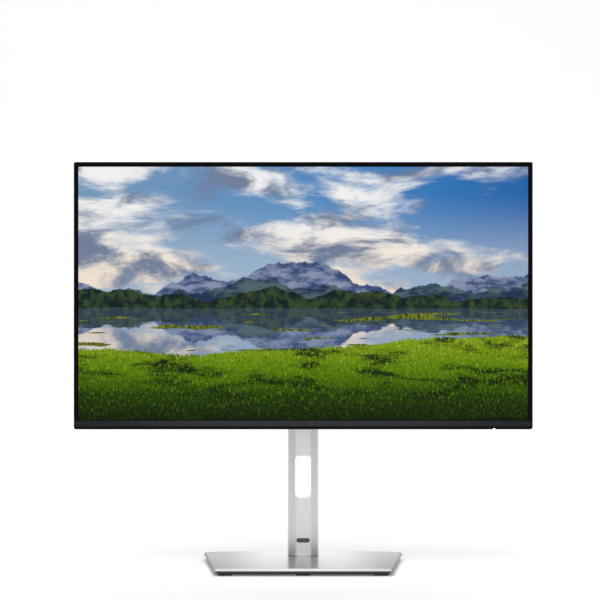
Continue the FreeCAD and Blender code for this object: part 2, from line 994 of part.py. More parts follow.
def make_pivot_ring():
    barrel_length = 5
    lip_start = 4.4
    lip_size = 30
    lip_depth = 1.2
    bore_size = 12
    front = RECESS_FLOOR + dim("mount_thickness")
    barrel = rod("y", 0, front, AXIS, dim("pivot_size"), barrel_length)
    lip = rod("y", 0, front + lip_start, AXIS, lip_size, lip_depth)
    bore = rod("y", 0, front - PAST, AXIS, bore_size, THROUGH)
    node("pivot_ring", cut(fuse(barrel, lip), bore))


def make_tilt_bracket():
    rise = 20
    plate_depth = 2
    opening_size = 33
    axis_y = dim("tilt_axis")
    ear = dim("ear_size")
    thick = dim("ear_thickness")
    parts = [block(-EAR_OUTSIDE, EAR_OUTSIDE, HUB_BACK, HUB_BACK + plate_depth, AXIS - rise, AXIS + rise)]
    for start in (-EAR_OUTSIDE, dim("ear_inside")):
        parts.append(rod("x", start, axis_y, AXIS, ear, thick))
        web = block(start, start + thick, HUB_BACK, axis_y, AXIS - ear / 2, AXIS + ear / 2)
        parts.append(web)
    opening = rod("y", 0, HUB_BACK - PAST, AXIS, opening_size, plate_depth + 2 * PAST)
    bore = rod("x", -2 * THROUGH, axis_y, AXIS, dim("shaft_size"), 4 * THROUGH)
    node("tilt_bracket", cut(fuse(*parts), opening, bore))


def make_tilt_shaft():
    thread_length = 3.4
    head_size = 10
    head_depth = 3
    axis_y = dim("tilt_axis")
    length = 2 * EAR_OUTSIDE + thread_length
    shaft = rod("x", -EAR_OUTSIDE, axis_y, AXIS, dim("shaft_size"), length)
    head = rod("x", -EAR_OUTSIDE - head_depth, axis_y, AXIS, head_size, head_depth)
    node("tilt_shaft", fuse(shaft, head))


def make_tilt_washers():
    """Friction discs between the eye and the ears, wide and narrow in turn."""
    count = 4
    sizes = (10.6, 9.2)
    axis_y = dim("tilt_axis")
    inside = dim("eye_width") / 2
    thick = (dim("ear_inside") - inside) / count
    washers = []
    for index in range(count):
        size = sizes[index % 2]
        for start in (inside + thick * index, -inside - thick * (index + 1)):
            disc = rod("x", start, axis_y, AXIS, size, thick)
            hole = rod("x", start, axis_y, AXIS, dim("shaft_size"), thick)
            washers.append(cut(disc, hole))
    node("tilt_washers", group(washers))


def make_tilt_nut():
    flats = 10
    thick = 3
    reach = flats / 2 / math.cos(math.radians(30))

    def draw(outline):
        corners = []
        for index in range(6):
            angle = math.radians(60 * index)
            y = dim("tilt_axis") + reach * math.cos(angle)
            corners.append((y, AXIS + reach * math.sin(angle)))
        draw_polygon(outline, corners)

    body = slab("x", EAR_OUTSIDE, thick, draw)
    carve(
        body, "x", EAR_OUTSIDE, thick,
        lambda o: draw_circle(o, dim("tilt_axis"), AXIS, dim("shaft_size")),
    )
    node("tilt_nut", body)


def make_head_cover():
    """A shroud round the tilt hinge, open in front, with a slot for the neck."""
    half = dim("head_width") / 2
    rise = dim("head_height") / 2
    wall = 2
    chin_back = 18
    back = 23.5
    brow_back = 16
    top_back = 13
    corner = 3

    def profile(inset):
        bottom = AXIS - rise + inset
        top = AXIS + rise - inset
        return [
            (HUB_BACK, bottom),
            (chin_back, bottom),
            (back - inset, AXIS - 20 + inset * 0.4),
            (back - inset, AXIS + 8 - inset * 0.4),
            (brow_back - inset / 2, top - 2),
            (top_back, top),
            (HUB_BACK, top),
        ]

    body = slab("x", -half, 2 * half, lambda o: draw_polygon(o, profile(0)))

    def behind(edge):
        return edge.BoundBox.XLength < 0.01 and edge.BoundBox.YMin > top_back - PAST

    round_body(body, corner, behind)
    carve(body, "x", wall - half, 2 * (half - wall), lambda o: draw_polygon(o, profile(wall)))
    slot_half = dim("neck_width") / 2 + 1
    slot_low = AXIS - 9.5
    slot_high = AXIS + 17
    slot_start = 14.5

    def draw_slot(outline):
        draw_rounded(outline, -slot_half, slot_half, slot_low, slot_high, wall, wall)

    carve(body, "y", slot_start, THROUGH, draw_slot)
    node("head_cover", body)


LATCH_HALF = 9.6
LATCH_LOW = AXIS - 55
LATCH_HIGH = AXIS - 48.5
HOOK_X = 23
HOOK_HALF = 5
HOOK_DEPTH = 1.2


def make_mount_plate():
    half = dim("mount_width") / 2
    rise = dim("mount_height") / 2
    thick = dim("mount_thickness")
    corner = 6
    hole_x = 30
    hole_z = 34
    hole_size = 5
    hook_reach = 3.8

    def draw(outline):
        draw_rounded(outline, -half, half, AXIS - rise, AXIS + rise, corner, corner)

    def draw_latch_window(outline):
        draw_rounded(outline, -LATCH_HALF, LATCH_HALF, LATCH_LOW, LATCH_HIGH, 1, 1)

    body = slab("y", RECESS_FLOOR, thick, draw)
    carve(body, "y", RECESS_FLOOR, thick, draw_latch_window)
    for x in (-hole_x, hole_x):
        for z in (AXIS - hole_z, AXIS + hole_z):
            carve(body, "y", RECESS_FLOOR, thick, lambda o: draw_circle(o, x, z, hole_size))
    hooks = []
    top = AXIS + rise
    for x in (-HOOK_X, HOOK_X):
        left = x - HOOK_HALF
        right = x + HOOK_HALF
        back = RECESS_FLOOR + HOOK_DEPTH
        hooks.append(block(left, right, RECESS_FLOOR, back, top - PAST, top + hook_reach))
    node("mount_plate", fuse(body, *hooks))


# ---- display panel --------------------------------------------------------


def make_middle_frame():
    front = dim("panel_front")
    low_corner = dim("corner_bottom")
    top_corner = dim("corner_top")

    def draw(outline):
        draw_rounded(outline, -HALF_PANEL, HALF_PANEL, PANEL_LOW, PANEL_TOP, low_corner, top_corner)

    outer_corner = 1
    inner_corner = 0.3
    stack_corner = 0.4

    def draw_glass(outline):
        draw_rounded(
            outline, -GLASS_HALF, GLASS_HALF, CHIN_HIGH, GLASS_TOP, inner_corner, outer_corner
        )

    def draw_chin(outline):
        draw_rounded(
            outline, -GLASS_HALF, GLASS_HALF, CHIN_LOW, CHIN_HIGH, outer_corner, inner_corner
        )

    def draw_stack(outline):
        draw_rounded(
            outline, -STACK_HALF, STACK_HALF, STACK_LOW, STACK_TOP, stack_corner, stack_corner
        )

    body = slab("y", front, dim("frame_back") - front, draw)
    carve(body, "y", front, dim("glass_depth"), draw_glass)
    carve(body, "y", front, dim("chin_depth"), draw_chin)
    carve(body, "y", SHELF, THROUGH, draw_stack)
    node("middle_frame", cut(body, lamp_block()))


def lamp_block():
    """The space of the power lamp's lens, in the frame's lower edge."""
    left = dim("led_x") - dim("led_width") / 2
    front = dim("panel_front")
    back = front + dim("led_depth")
    return block(left, left + dim("led_width"), front, back, PANEL_LOW, PANEL_LOW + dim("led_height"))


def make_power_led_lens():
    node("power_led_lens", lamp_block())


def make_chin_bar():
    gap = dim("chin_gap")
    half = GLASS_HALF - gap
    front = dim("panel_front") - dim("chin_stand_out")
    thick = dim("chin_depth") + dim("chin_stand_out")
    corner = 0.8

    def draw(outline):
        draw_rounded(outline, -half, half, CHIN_LOW + gap, CHIN_HIGH - gap, corner, corner)

    node("chin_bar", slab("y", front, thick, draw))


def make_lcd_glass():
    gap = dim("chin_gap")
    half = GLASS_HALF - gap
    front = SHELF - dim("glass_thickness")
    low_corner = 0.4
    top_corner = 0.8

    def draw(outline):
        draw_rounded(
            outline, -half, half, CHIN_HIGH + gap, GLASS_TOP - gap, low_corner, top_corner
        )

    node("lcd_glass", slab("y", front, dim("glass_thickness"), draw))


def layer(front, thickness, low):
    half = STACK_HALF - dim("film_play")
    return block(-half, half, front, front + thickness, low, STACK_TOP - dim("film_play"))


LAMP_COUNT = 24
LAMP_PITCH = 22


def make_led_strip(front, low):
    """A narrow bar under the light guide, with small lamps facing up."""
    side_gap = 4
    bar_play = 0.1
    lamp_play = 0.6
    lamp_half = 2
    lamp_foot = 0.3
    lamp_rise = 0.2
    half = STACK_HALF - side_gap
    back = front + dim("guide_thickness")
    top = low + dim("led_bar_height")
    parts = [block(-half, half, front + bar_play, back - bar_play, low, top)]
    for index in range(LAMP_COUNT):
        x = (index - (LAMP_COUNT - 1) / 2) * LAMP_PITCH
        near = front + lamp_play
        far = back - lamp_play
        parts.append(block(x - lamp_half, x + lamp_half, near, far, top - lamp_foot, top + lamp_rise))
    node("led_strip", fuse(*parts))


def make_chassis(front, low):
    """The steel pan behind the sheets, with two upright and two level ribs."""
    rib_half = 4
    rib_depth = 1.2
    upright_x = 200
    upright_rise = 110
    level_reach = 190
    level_low = -95
    level_high = 100
    parts = [layer(front, dim("chassis_thickness"), low)]
    back = CHASSIS_BACK + rib_depth
    for x in (-upright_x, upright_x):
        parts.append(
            block(x - rib_half, x + rib_half, CHASSIS_BACK, back, AXIS - upright_rise, AXIS + upright_rise)
        )
    for rise in (level_low, level_high):
        z = AXIS + rise
        parts.append(block(-level_reach, level_reach, CHASSIS_BACK, back, z - rib_half, z + rib_half))
    node("backlight_chassis", fuse(*parts))


def make_backlight():
    film = dim("film_thickness")
    guide = dim("guide_thickness")
    low = STACK_LOW + dim("film_play")
    guide_gap = 0.3
    node("diffuser_sheet", layer(SHELF, film, low))
    prisms = [layer(SHELF + film * count, film, low) for count in (1, 2)]
    node("prism_sheets", group(prisms))
    guide_front = SHELF + film * 3
    node("light_guide", layer(guide_front, guide, low + dim("led_bar_height") + guide_gap))
    make_led_strip(guide_front, low)
    node("reflector_sheet", layer(guide_front + guide, film, low))
    make_chassis(guide_front + guide + film, low)


def cover_solid(wall):
    """The rear cover's outside, or its inside when a wall is taken off."""
    wall = as_size(wall)
    open_front = 0.5 if wall.value > 0 else 0
    shoulder = dim("cover_shoulder") - wall * 0.3
    plateau = dim("cover_plateau") - wall
    inset = dim("shoulder_inset") + wall
    body = new_body()
    outlines = []
    for level, margin in (
        (dim("frame_back") - open_front, wall),
        (shoulder, wall),
        (plateau, inset),
    ):
        half = HALF_PANEL - margin
        outline = new_sketch(body, "y", level)
        draw_rounded(
            outline, -half, half, PANEL_LOW + margin, PANEL_TOP - margin,
            dim("corner_bottom"), dim("corner_top"),
        )
        outlines.append(outline)
    loft(body, "Additive", outlines)
    corner = dim("bulge_corner")
    outlines = []
    for level, width, top, bottom, radius in (
        (plateau - 1, dim("bulge_foot_width"), dim("bulge_foot_top"), dim("bulge_foot_bottom"), corner * 2),
        (dim("cover_back") - wall, dim("bulge_width"), dim("bulge_top"), dim("bulge_bottom"), corner),
    ):
        half = width / 2 - wall
        outline = new_sketch(body, "y", level)
        draw_rounded(outline, -half, half, AXIS - bottom + wall, AXIS + top - wall, radius, radius)
        outlines.append(outline)
    loft(body, "Additive", outlines)
    return body


CONNECTORS = [
    # middle x, width, depth
    (-104, 28, 20),
    (-4, 15.5, 6.5),
    (20, 16.5, 6.5),
    (50, 31, 11),
    (84, 12.5, 11),
    (104, 14.5, 7.5),
]
CONNECTOR_PLAY = 0.3


def connector_hole(x, width, depth):
    half = width / 2 + CONNECTOR_PLAY
    front = BOARD_BACK - CONNECTOR_PLAY
    back = BOARD_BACK + depth + CONNECTOR_PLAY
    bay_top = AXIS - dim("bay_top")
    return block(x - half, x + half, front, back, bay_top - PAST, bay_top + dim("bay_wall") + PAST)


def centred_block(half, front, back, rise):
    """A block round the panel's turning axis, seen from behind."""
    return block(-half, half, front, back, AXIS - rise, AXIS + rise)


def release_opening():
    half = 11.6
    low = AXIS - 76
    high = AXIS - 62.4
    back = dim("cover_back") + PAST
    opening = block(-half, half, BRACKET_BACK - 2 * PAST, back, low, high)
    return rounded(opening, 1, along("y"))


def lock_slot_hole():
    """The standard anti-theft slot, 7 mm by 3 mm."""
    left = -137
    low = AXIS - 80
    return block(left, left + 7, BRACKET_BACK - 2 * PAST, dim("cover_back") + PAST, low, low + 3)


def hook_pockets():
    """Places for the mount plate's two hooks, in the recess's upper edge."""
    play = 0.4
    depth = 1.4
    low = AXIS + 59
    pockets = []
    for x in (-HOOK_X, HOOK_X):
        half = HOOK_HALF + play
        pockets.append(block(x - half, x + half, RECESS_FLOOR, RECESS_FLOOR + depth, low, low + 3))
    return pockets


def cooling_slots():
    """Rows of slots through the bulge's upper slope."""
    count = 26
    pitch = 9
    half = 1.5
    front = -22
    back = -8
    low = AXIS + dim("bulge_top")
    slots = []
    for index in range(count):
        x = (index - (count - 1) / 2) * pitch
        slots.append(block(x - half, x + half, front, back, low, low + 26))
    return slots


def make_rear_cover():
    wall = dim("cover_wall")
    half = dim("recess_width") / 2
    rise = dim("recess_height") / 2
    recess_corner = 6
    key_start = -34
    key_depth = 8
    key_play = 0.2
    screw_opening = 7
    shell = cut(cover_solid(0), cover_solid(wall))
    pan = centred_block(half + wall, BRACKET_BACK, dim("cover_back"), rise + wall)
    bay_half = dim("bay_width") / 2
    bay_wall = dim("bay_wall")
    bay_top = AXIS - dim("bay_top")
    bay_low = AXIS - dim("bulge_foot_bottom") - THROUGH
    bay_outside = block(
        -bay_half - bay_wall, bay_half + bay_wall,
        dim("bay_front") - bay_wall, dim("cover_back"), bay_low, bay_top + bay_wall,
    )
    body = fuse(shell, pan, common(bay_outside, cover_solid(0)))
    recess = centred_block(half, RECESS_FLOOR, dim("cover_back") + PAST, rise)
    key_x = dim("key_x")
    tools = [
        rounded(recess, recess_corner, along("y")),
        block(-bay_half, bay_half, dim("bay_front"), THROUGH, bay_low - PAST, bay_top),
        release_opening(),
        block(-LATCH_HALF, LATCH_HALF, BRACKET_BACK - PAST, RECESS_FLOOR + PAST, LATCH_LOW, LATCH_HIGH),
        rod("y", key_x, key_start, POWER_KEY_Z, dim("power_key_size") + key_play, key_depth),
        rod("y", key_x, key_start, STICK_Z, dim("stick_hole"), key_depth),
        lock_slot_hole(),
    ]
    for x, z in vesa_spots():
        tools.append(rod("y", x, BRACKET_BACK - PAST, z, screw_opening, wall + 2 * PAST))
    for spot in CONNECTORS:
        tools.append(connector_hole(*spot))
    tools += hook_pockets()
    tools += cooling_slots()
    node("rear_cover", cut(body, *tools))


def square_spots(pitch):
    half = pitch / 2
    for x in (-half, half):
        for z in (AXIS - half, AXIS + half):
            yield x, z


def vesa_spots():
    return square_spots(dim("vesa_pitch"))


def make_vesa_bracket():
    half = dim("bracket_width") / 2
    corner = 5
    window_half = 12
    window_low = AXIS - 74
    window_high = AXIS - 46
    depth = dim("vesa_depth")
    plate = centred_block(half, BRACKET_BACK - dim("bracket_plate"), BRACKET_BACK, half)
    parts = [rounded(plate, corner, along("y"))]
    tools = [block(-window_half, window_half, -THROUGH, 0, window_low, window_high)]
    for x, z in vesa_spots():
        front = BRACKET_BACK - depth
        parts.append(rod("y", x, front, z, dim("vesa_boss"), depth))
        tools.append(rod("y", x, front - PAST, z, dim("vesa_hole"), depth + 2 * PAST))
    for x, z in square_spots(dim("post_pitch")):
        parts.append(rod("y", x, CHASSIS_BACK, z, dim("post_size"), BRACKET_BACK - CHASSIS_BACK))
    node("vesa_bracket", cut(fuse(*parts), *tools))


def board(x_low, x_high):
    low = AXIS + dim("board_low")
    top = AXIS + dim("board_top")
    front = dim("board_front")
    half = dim("post_pitch") / 2
    opening = dim("post_size") + 1
    plate = block(x_low, x_high, front, BOARD_BACK, low, top)
    tools = []
    for x in (-half, half):
        tools.append(rod("y", x, front - PAST, AXIS - half, opening, dim("board_thickness") + 2 * PAST))
    return cut(plate, *tools)


def make_boards():
    outer = dim("board_outer")
    split = dim("board_split")
    half_gap = dim("board_gap") / 2
    node("power_board", board(-outer, -split - half_gap))
    node("main_board", board(-split + half_gap, outer))


def make_board_standoffs():
    size = 6
    edge = 5
    from_split = 8
    outer = dim("board_outer") - edge
    split = dim("board_split")
    length = dim("board_front") - CHASSIS_BACK
    pillars = []
    for x in (-outer, -split - from_split, from_split - split, outer):
        for z in (AXIS + dim("board_low") + edge, AXIS + dim("board_top") - edge):
            pillars.append(rod("y", x, CHASSIS_BACK, z, size, length))
    node("board_standoffs", group(pillars))


def on_board(x, rise, width, height, depth):
    """A boxy part standing on the back of a board."""
    left = x - width / 2
    low = AXIS + rise - height / 2
    return block(left, left + width, BOARD_BACK, BOARD_BACK + depth, low, low + height)


def can_on_board(x, rise, size, depth):
    """A round capacitor standing on the back of a board."""
    return rod("y", x, BOARD_BACK, AXIS + rise, size, depth)


TRANSFORMERS_AND_HEATSINK = [
    # x, rise over the axis, width, height, depth
    (-90, 5, 28, 24, 14),
    (-124, -20, 20, 14, 12),
    (-70, -30, 4, 34, 12),
]
POWER_CANS = [(-122, 10, 18, 16), (-62, 30, 10, 12), (-50, 16, 10, 12), (-104, 34, 8, 10)]
CHIPS_AND_PLUG = [
    (40, 0, 24, 24, 2),
    (80, 20, 14, 18, 1.2),
    (10, 25, 10, 14, 1.2),
    (0, -10, 8, 8, 1.2),
    (35, 44, 32, 5, 3),
]
LOGIC_CANS = [(110, -20, 7, 8), (125, 10, 7, 8), (72, -28, 7, 8), (100, 36, 7, 8)]


def make_board_parts():
    power = [on_board(*spot) for spot in TRANSFORMERS_AND_HEATSINK]
    power += [can_on_board(*spot) for spot in POWER_CANS]
    node("power_parts", group(power))
    logic = [on_board(*spot) for spot in CHIPS_AND_PLUG]
    logic += [can_on_board(*spot) for spot in LOGIC_CANS]
    node("board_chips", group(logic))


def connector(x, width, depth, top):
    """A metal-shelled socket that opens downwards."""
    wall = 0.7
    socket_depth = 9
    tongue_half = 0.6
    tongue_start = 1.5
    low = AXIS + dim("connector_low")
    half = width / 2
    back = BOARD_BACK + depth
    middle = BOARD_BACK + depth / 2
    shell = block(x - half, x + half, BOARD_BACK, back, low, AXIS + top)
    inner = half - wall
    hollow = block(x - inner, x + inner, BOARD_BACK + wall, back - wall, low, low + socket_depth)
    tongue = block(
        x - width / 3, x + width / 3, middle - tongue_half, middle + tongue_half,
        low + tongue_start, low + socket_depth + wall,
    )
    return fuse(cut(shell, hollow), tongue)


def make_ports():
    inlet_top = -66
    port_top = -72
    inlet, *ports = CONNECTORS
    node("power_inlet", connector(*inlet, inlet_top))
    node("video_ports", group([connector(*spot, port_top) for spot in ports[:3]]))
    node("usb_ports", group([connector(*spot, port_top) for spot in ports[3:]]))


def make_panel_cable():
    """A flat ribbon from the main board's top edge to the panel."""
    thick = 0.4
    left = 22
    width = 26
    near = BOARD_BACK + 3
    start = AXIS + 42
    bend = AXIS + 53
    landing = AXIS + 65
    end = AXIS + 91

    def draw(outline):
        draw_polygon(
            outline,
            [
                (near, start),
                (near + thick, start),
                (near + thick, bend + thick),
                (CHASSIS_BACK + thick, landing + thick),
                (CHASSIS_BACK + thick, end),
                (CHASSIS_BACK, end),
                (CHASSIS_BACK, landing),
                (near, bend),
            ],
        )

    node("panel_cable", slab("x", left, width, draw))


# ---- buttons --------------------------------------------------------------

KEY_BOARD_FRONT = -37.4
KEY_BOARD_BACK = -36.2
SWITCH_BACK = -34.4
STICK_HOUSING_BORE = 12.1


def make_key_board():
    x = dim("key_x")
    half = 9
    switch_half = 3
    plunger_size = 3.4
    plunger_length = 0.7
    housing_size = 15
    housing_depth = 2.2
    floor = 0.25
    plate = block(x - half, x + half, KEY_BOARD_FRONT, KEY_BOARD_BACK, POWER_KEY_Z - half, STICK_Z + half + 1)
    switch = block(
        x - switch_half, x + switch_half, KEY_BOARD_BACK, SWITCH_BACK,
        POWER_KEY_Z - switch_half, POWER_KEY_Z + switch_half,
    )
    plunger = rod("y", x, SWITCH_BACK, POWER_KEY_Z, plunger_size, plunger_length)
    housing = rod("y", x, KEY_BOARD_BACK, STICK_Z, housing_size, housing_depth)
    well = rod("y", x, KEY_BOARD_BACK + floor, STICK_Z, STICK_HOUSING_BORE, housing_depth)
    node("key_board", fuse(plate, switch, plunger, cut(housing, well)))


def make_power_button():
    x = dim("key_x")
    front = -33
    length = 4.8
    flange_size = 12.6
    flange_depth = 1.2
    dimple_size = 16
    dimple_depth = 0.2
    size = dim("power_key_size") + 2 * dim("running_gap")
    cap = rod("y", x, front, POWER_KEY_Z, size, length)
    flange = rod("y", x, front, POWER_KEY_Z, flange_size, flange_depth)
    dimple = ball(x, front + length - dimple_depth + dimple_size / 2, POWER_KEY_Z, dimple_size)
    node("power_button", cut(fuse(cap, flange), dimple))


STICK_PIN = 0.8
STICK_PIN_BORE = 0.9
GIMBAL_PIN = 1
GIMBAL_PIN_BORE = 1.1
GIMBAL_OUTSIDE = 8.4
GIMBAL_DEPTH = 1.2


def make_stick_carrier():
    """The sliding ring that the whole menu stick clicks with."""
    x = dim("key_x")
    y = dim("stick_pivot")
    size = STICK_HOUSING_BORE - 2 * dim("running_gap")
    bore = 8.8
    front = y - 1.2
    depth = 2.2
    ring = rod("y", x, front, STICK_Z, size, depth)
    hole = rod("y", x, front - PAST, STICK_Z, bore, depth + 2 * PAST)
    pins = rod("x", x - THROUGH / 2, y, STICK_Z, GIMBAL_PIN_BORE, THROUGH)
    node("stick_carrier", cut(ring, hole, pins))


def make_stick_gimbal():
    """A ring that rocks up and down in the carrier and holds the stick's own pin."""
    x = dim("key_x")
    y = dim("stick_pivot")
    inside = 6
    pin_start = 3.6
    pin_end = 5.4
    front = y - GIMBAL_DEPTH / 2
    ring = rod("y", x, front, STICK_Z, GIMBAL_OUTSIDE, GIMBAL_DEPTH)
    hole = rod("y", x, front - PAST, STICK_Z, inside, GIMBAL_DEPTH + 2 * PAST)
    pin_hole = rod("z", x, y, STICK_Z - THROUGH / 2, STICK_PIN_BORE, THROUGH)
    pins = []
    for start in (x - pin_end, x + pin_start):
        pins.append(rod("x", start, y, STICK_Z, GIMBAL_PIN, pin_end - pin_start))
    node("stick_gimbal", fuse(cut(ring, hole, pin_hole), *pins))


def make_stick_cap():
    x = dim("key_x")
    y = dim("stick_pivot")
    knuckle_size = 2.4
    stem_size = 2.2
    stem_length = 5
    pin_half = 3.8
    dome_size = 24
    dome_sink = 1.5
    cap_front = -30.2
    knuckle = ball(x, y, STICK_Z, knuckle_size)
    stem = rod("y", x, y, STICK_Z, stem_size, stem_length)
    pin = rod("z", x, y, STICK_Z - pin_half, STICK_PIN, 2 * pin_half)
    blank = rod("y", x, cap_front, STICK_Z, dim("stick_cap_size"), THROUGH)
    cap = common(ball(x, y - dome_sink, STICK_Z, dome_size), blank)
    node("stick_cap", fuse(knuckle, stem, pin, cap))


def make_release_button():
    half = 11
    front = -5.6
    back = 2.8
    low = AXIS - 75.4
    height = 9
    grip_half = 8
    grip_depth = 0.6
    grip_width = 0.8
    push = rounded(block(-half, half, front, back, low, low + height), 1, along("y"))
    grips = []
    for count in (1, 2, 3):
        z = low + 2 * count
        grips.append(block(-grip_half, grip_half, back - grip_depth, back + PAST, z, z + grip_width))
    node("release_button", cut(push, *grips))


def make_stand_latch():
    half = 9
    front = -8
    arm_back = -6.4
    arm_low = AXIS - 70
    nose_back = 0.4
    nose_low = AXIS - 54.5
    nose_top = AXIS - 49
    bevel = 1
    nose = block(-half, half, front, nose_back, nose_low, nose_top)
    arm = block(-half, half, front, arm_back, arm_low, nose_low + 0.5)
    step = block(-half, half, nose_back - bevel, nose_back + PAST, nose_top - 0.8, nose_top + PAST)
    node("stand_latch", cut(fuse(nose, arm), step))


# ---- the whole monitor ----------------------------------------------------


def build():
    make_base_top_plate()
    make_base_tray()
    make_tray_screws()
    make_foot_pads()
    make_swivel_bush()
    make_column_front_cover()
    make_column_badge()
    make_column_rear_cover()
    make_column_top_cap()
    make_cable_slot_collar()
    make_rail_channel()
    make_column_foot_block()
    make_swivel_hub()
    make_foot_screws()
    make_thumbscrew_washer()
    make_thumbscrew()
    make_thumbscrew_bail()
    make_carriage()
    make_slider_pads()
    make_spool_axle()
    make_spring_coil()
    make_spring_strip()
    make_pivot_hub()
    make_pivot_ring()
    make_tilt_bracket()
    make_tilt_shaft()
    make_tilt_washers()
    make_tilt_nut()
    make_head_cover()
    make_mount_plate()
    make_middle_frame()
    make_power_led_lens()
    make_chin_bar()
    make_lcd_glass()
    make_backlight()
    make_rear_cover()
    make_vesa_bracket()
    make_boards()
    make_board_standoffs()
    make_board_parts()
    make_ports()
    make_panel_cable()
    make_key_board()
    make_power_button()
    make_stick_carrier()
    make_stick_gimbal()
    make_stick_cap()
    make_release_button()
    make_stand_latch()


def export():
    doc.recompute()
    for item in doc.Objects:
        if "Invalid" in item.State or "Error" in item.State:
            raise RuntimeError(f"{item.Name} {item.Label} is {item.State}")
    os.makedirs("parts", exist_ok=True)
    for item in NODES:
        shape = item.Shape
        if shape.isNull() or not shape.isValid():
            raise RuntimeError(f"{item.Label} has no valid shape")
        shape.exportStep(f"parts/{item.Label}.step")
        print(item.Label, len(shape.Solids), round(shape.Volume))


build()
export()
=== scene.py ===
import math

import bmesh
import bpy
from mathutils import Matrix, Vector


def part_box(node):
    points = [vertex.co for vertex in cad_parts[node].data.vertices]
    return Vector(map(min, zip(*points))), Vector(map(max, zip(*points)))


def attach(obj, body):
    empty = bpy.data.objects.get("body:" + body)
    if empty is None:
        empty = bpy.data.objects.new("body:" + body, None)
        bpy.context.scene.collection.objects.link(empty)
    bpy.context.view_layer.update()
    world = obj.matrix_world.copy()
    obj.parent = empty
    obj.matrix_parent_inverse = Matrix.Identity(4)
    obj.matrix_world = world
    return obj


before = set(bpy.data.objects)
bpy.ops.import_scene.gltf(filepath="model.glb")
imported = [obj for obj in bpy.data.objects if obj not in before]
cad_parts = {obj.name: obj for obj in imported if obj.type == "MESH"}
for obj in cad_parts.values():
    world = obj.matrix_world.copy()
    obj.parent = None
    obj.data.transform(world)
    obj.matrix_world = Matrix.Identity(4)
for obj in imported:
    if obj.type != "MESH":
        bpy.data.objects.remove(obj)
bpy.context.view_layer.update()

MM = 0.001

PICTURE_WIDTH = 527.04 * MM
PICTURE_HEIGHT = 296.46 * MM
AXIS_HEIGHT = 326 * MM
WELD_REACH = 0.002 * MM

# Sockets of the colour mix node, which has a set of its own for each kind of data.
MIX_AMOUNT = 0
MIX_FIRST = 6
MIX_SECOND = 7
MIX_RESULT = 2

# How a display turns its levels, 0 to 255, into light.
DISPLAY_TOP = 255
DISPLAY_OFFSET = 0.055
DISPLAY_POWER = 2.4
DISPLAY_DARK = 10
DISPLAY_DARK_SLOPE = 3295


# ---- a small kit for node materials ----------------------------------------


class Finish:
    """One procedural material, built up node by node."""

    def __init__(self, name):
        self.material = bpy.data.materials.new(name)
        self.material.use_nodes = True
        self.tree = self.material.node_tree
        self.surface = self.tree.nodes["Principled BSDF"]
        self.place = self.add("TexCoord").outputs["Object"]

    def add(self, kind, inputs=None, **settings):
        item = self.tree.nodes.new("ShaderNode" + kind)
        for key, value in settings.items():
            setattr(item, key, value)
        for key, value in (inputs or {}).items():
            self.feed(item.inputs[key], value)
        return item

    def feed(self, socket, value):
        if isinstance(value, bpy.types.NodeSocket):
            self.tree.links.new(value, socket)
        else:
            socket.default_value = value

    def calc(self, operation, first, second=0.0):
        item = self.add("Math", {0: first, 1: second}, operation=operation)
        return item.outputs[0]

    def clamp(self, value):
        return self.add("Clamp", {"Value": value}).outputs[0]

    def band(self, value, low, high, new_low=0.0, new_high=1.0):
        """Maps a range onto another one, smoothly and clamped."""
        spans = {"From Min": low, "From Max": high, "To Min": new_low, "To Max": new_high}
        item = self.add("MapRange", {"Value": value, **spans}, interpolation_type="SMOOTHSTEP")
        return item.outputs["Result"]

    def stretch(self, scale, where=None):
        item = self.add("Mapping", {"Vector": where or self.place, "Scale": scale})
        return item.outputs["Vector"]

    def noise(self, scale, detail=3.0, rough=0.5, stretch=(1, 1, 1), where=None, twist=0.0):
        settings = {"Scale": scale, "Detail": detail, "Roughness": rough, "Distortion": twist}
        item = self.add("TexNoise", {"Vector": self.stretch(stretch, where), **settings})
        return item.outputs["Fac"]

    def mix(self, amount, first, second):
        item = self.add("Mix", data_type="RGBA")
        self.feed(item.inputs[MIX_AMOUNT], amount)
        self.feed(item.inputs[MIX_FIRST], colour(first))
        self.feed(item.inputs[MIX_SECOND], colour(second))
        return item.outputs[MIX_RESULT]

    def ramp(self, amount, stops):
        item = self.add("ValToRGB", {"Fac": amount})
        line = item.color_ramp
        while len(line.elements) < len(stops):
            line.elements.new(0.5)
        for element, (spot, tone) in zip(line.elements, stops):
            element.position = spot
            element.color = colour(tone)
        return item.outputs["Color"]

    def bump(self, height, strength, distance):
        item = self.add("Bump", {"Height": height, "Strength": strength, "Distance": distance})
        self.feed(self.surface.inputs["Normal"], item.outputs["Normal"])

    def set(self, **values):
        for key, value in values.items():
            self.feed(self.surface.inputs[key.replace("_", " ")], value)


def colour(tone):
    """A colour as a socket takes it: another socket's output, or three numbers and full cover."""
    if isinstance(tone, bpy.types.NodeSocket):
        return tone
    return (*tone[:3], 1.0)


def times(tone, factor):
    """A colour made lighter or deeper, at most white."""
    return [min(part * factor, 1) for part in tone]


def linear_light(level):
    """One display level, 0 to 255, as linear light."""
    if level <= DISPLAY_DARK:
        return level / DISPLAY_DARK_SLOPE
    return ((level / DISPLAY_TOP + DISPLAY_OFFSET) / (1 + DISPLAY_OFFSET)) ** DISPLAY_POWER


def screen_tone(*levels):
    """A display colour, red, green and blue, as linear light."""
    return tuple(linear_light(level) for level in levels)


# ---- finishes ---------------------------------------------------------------


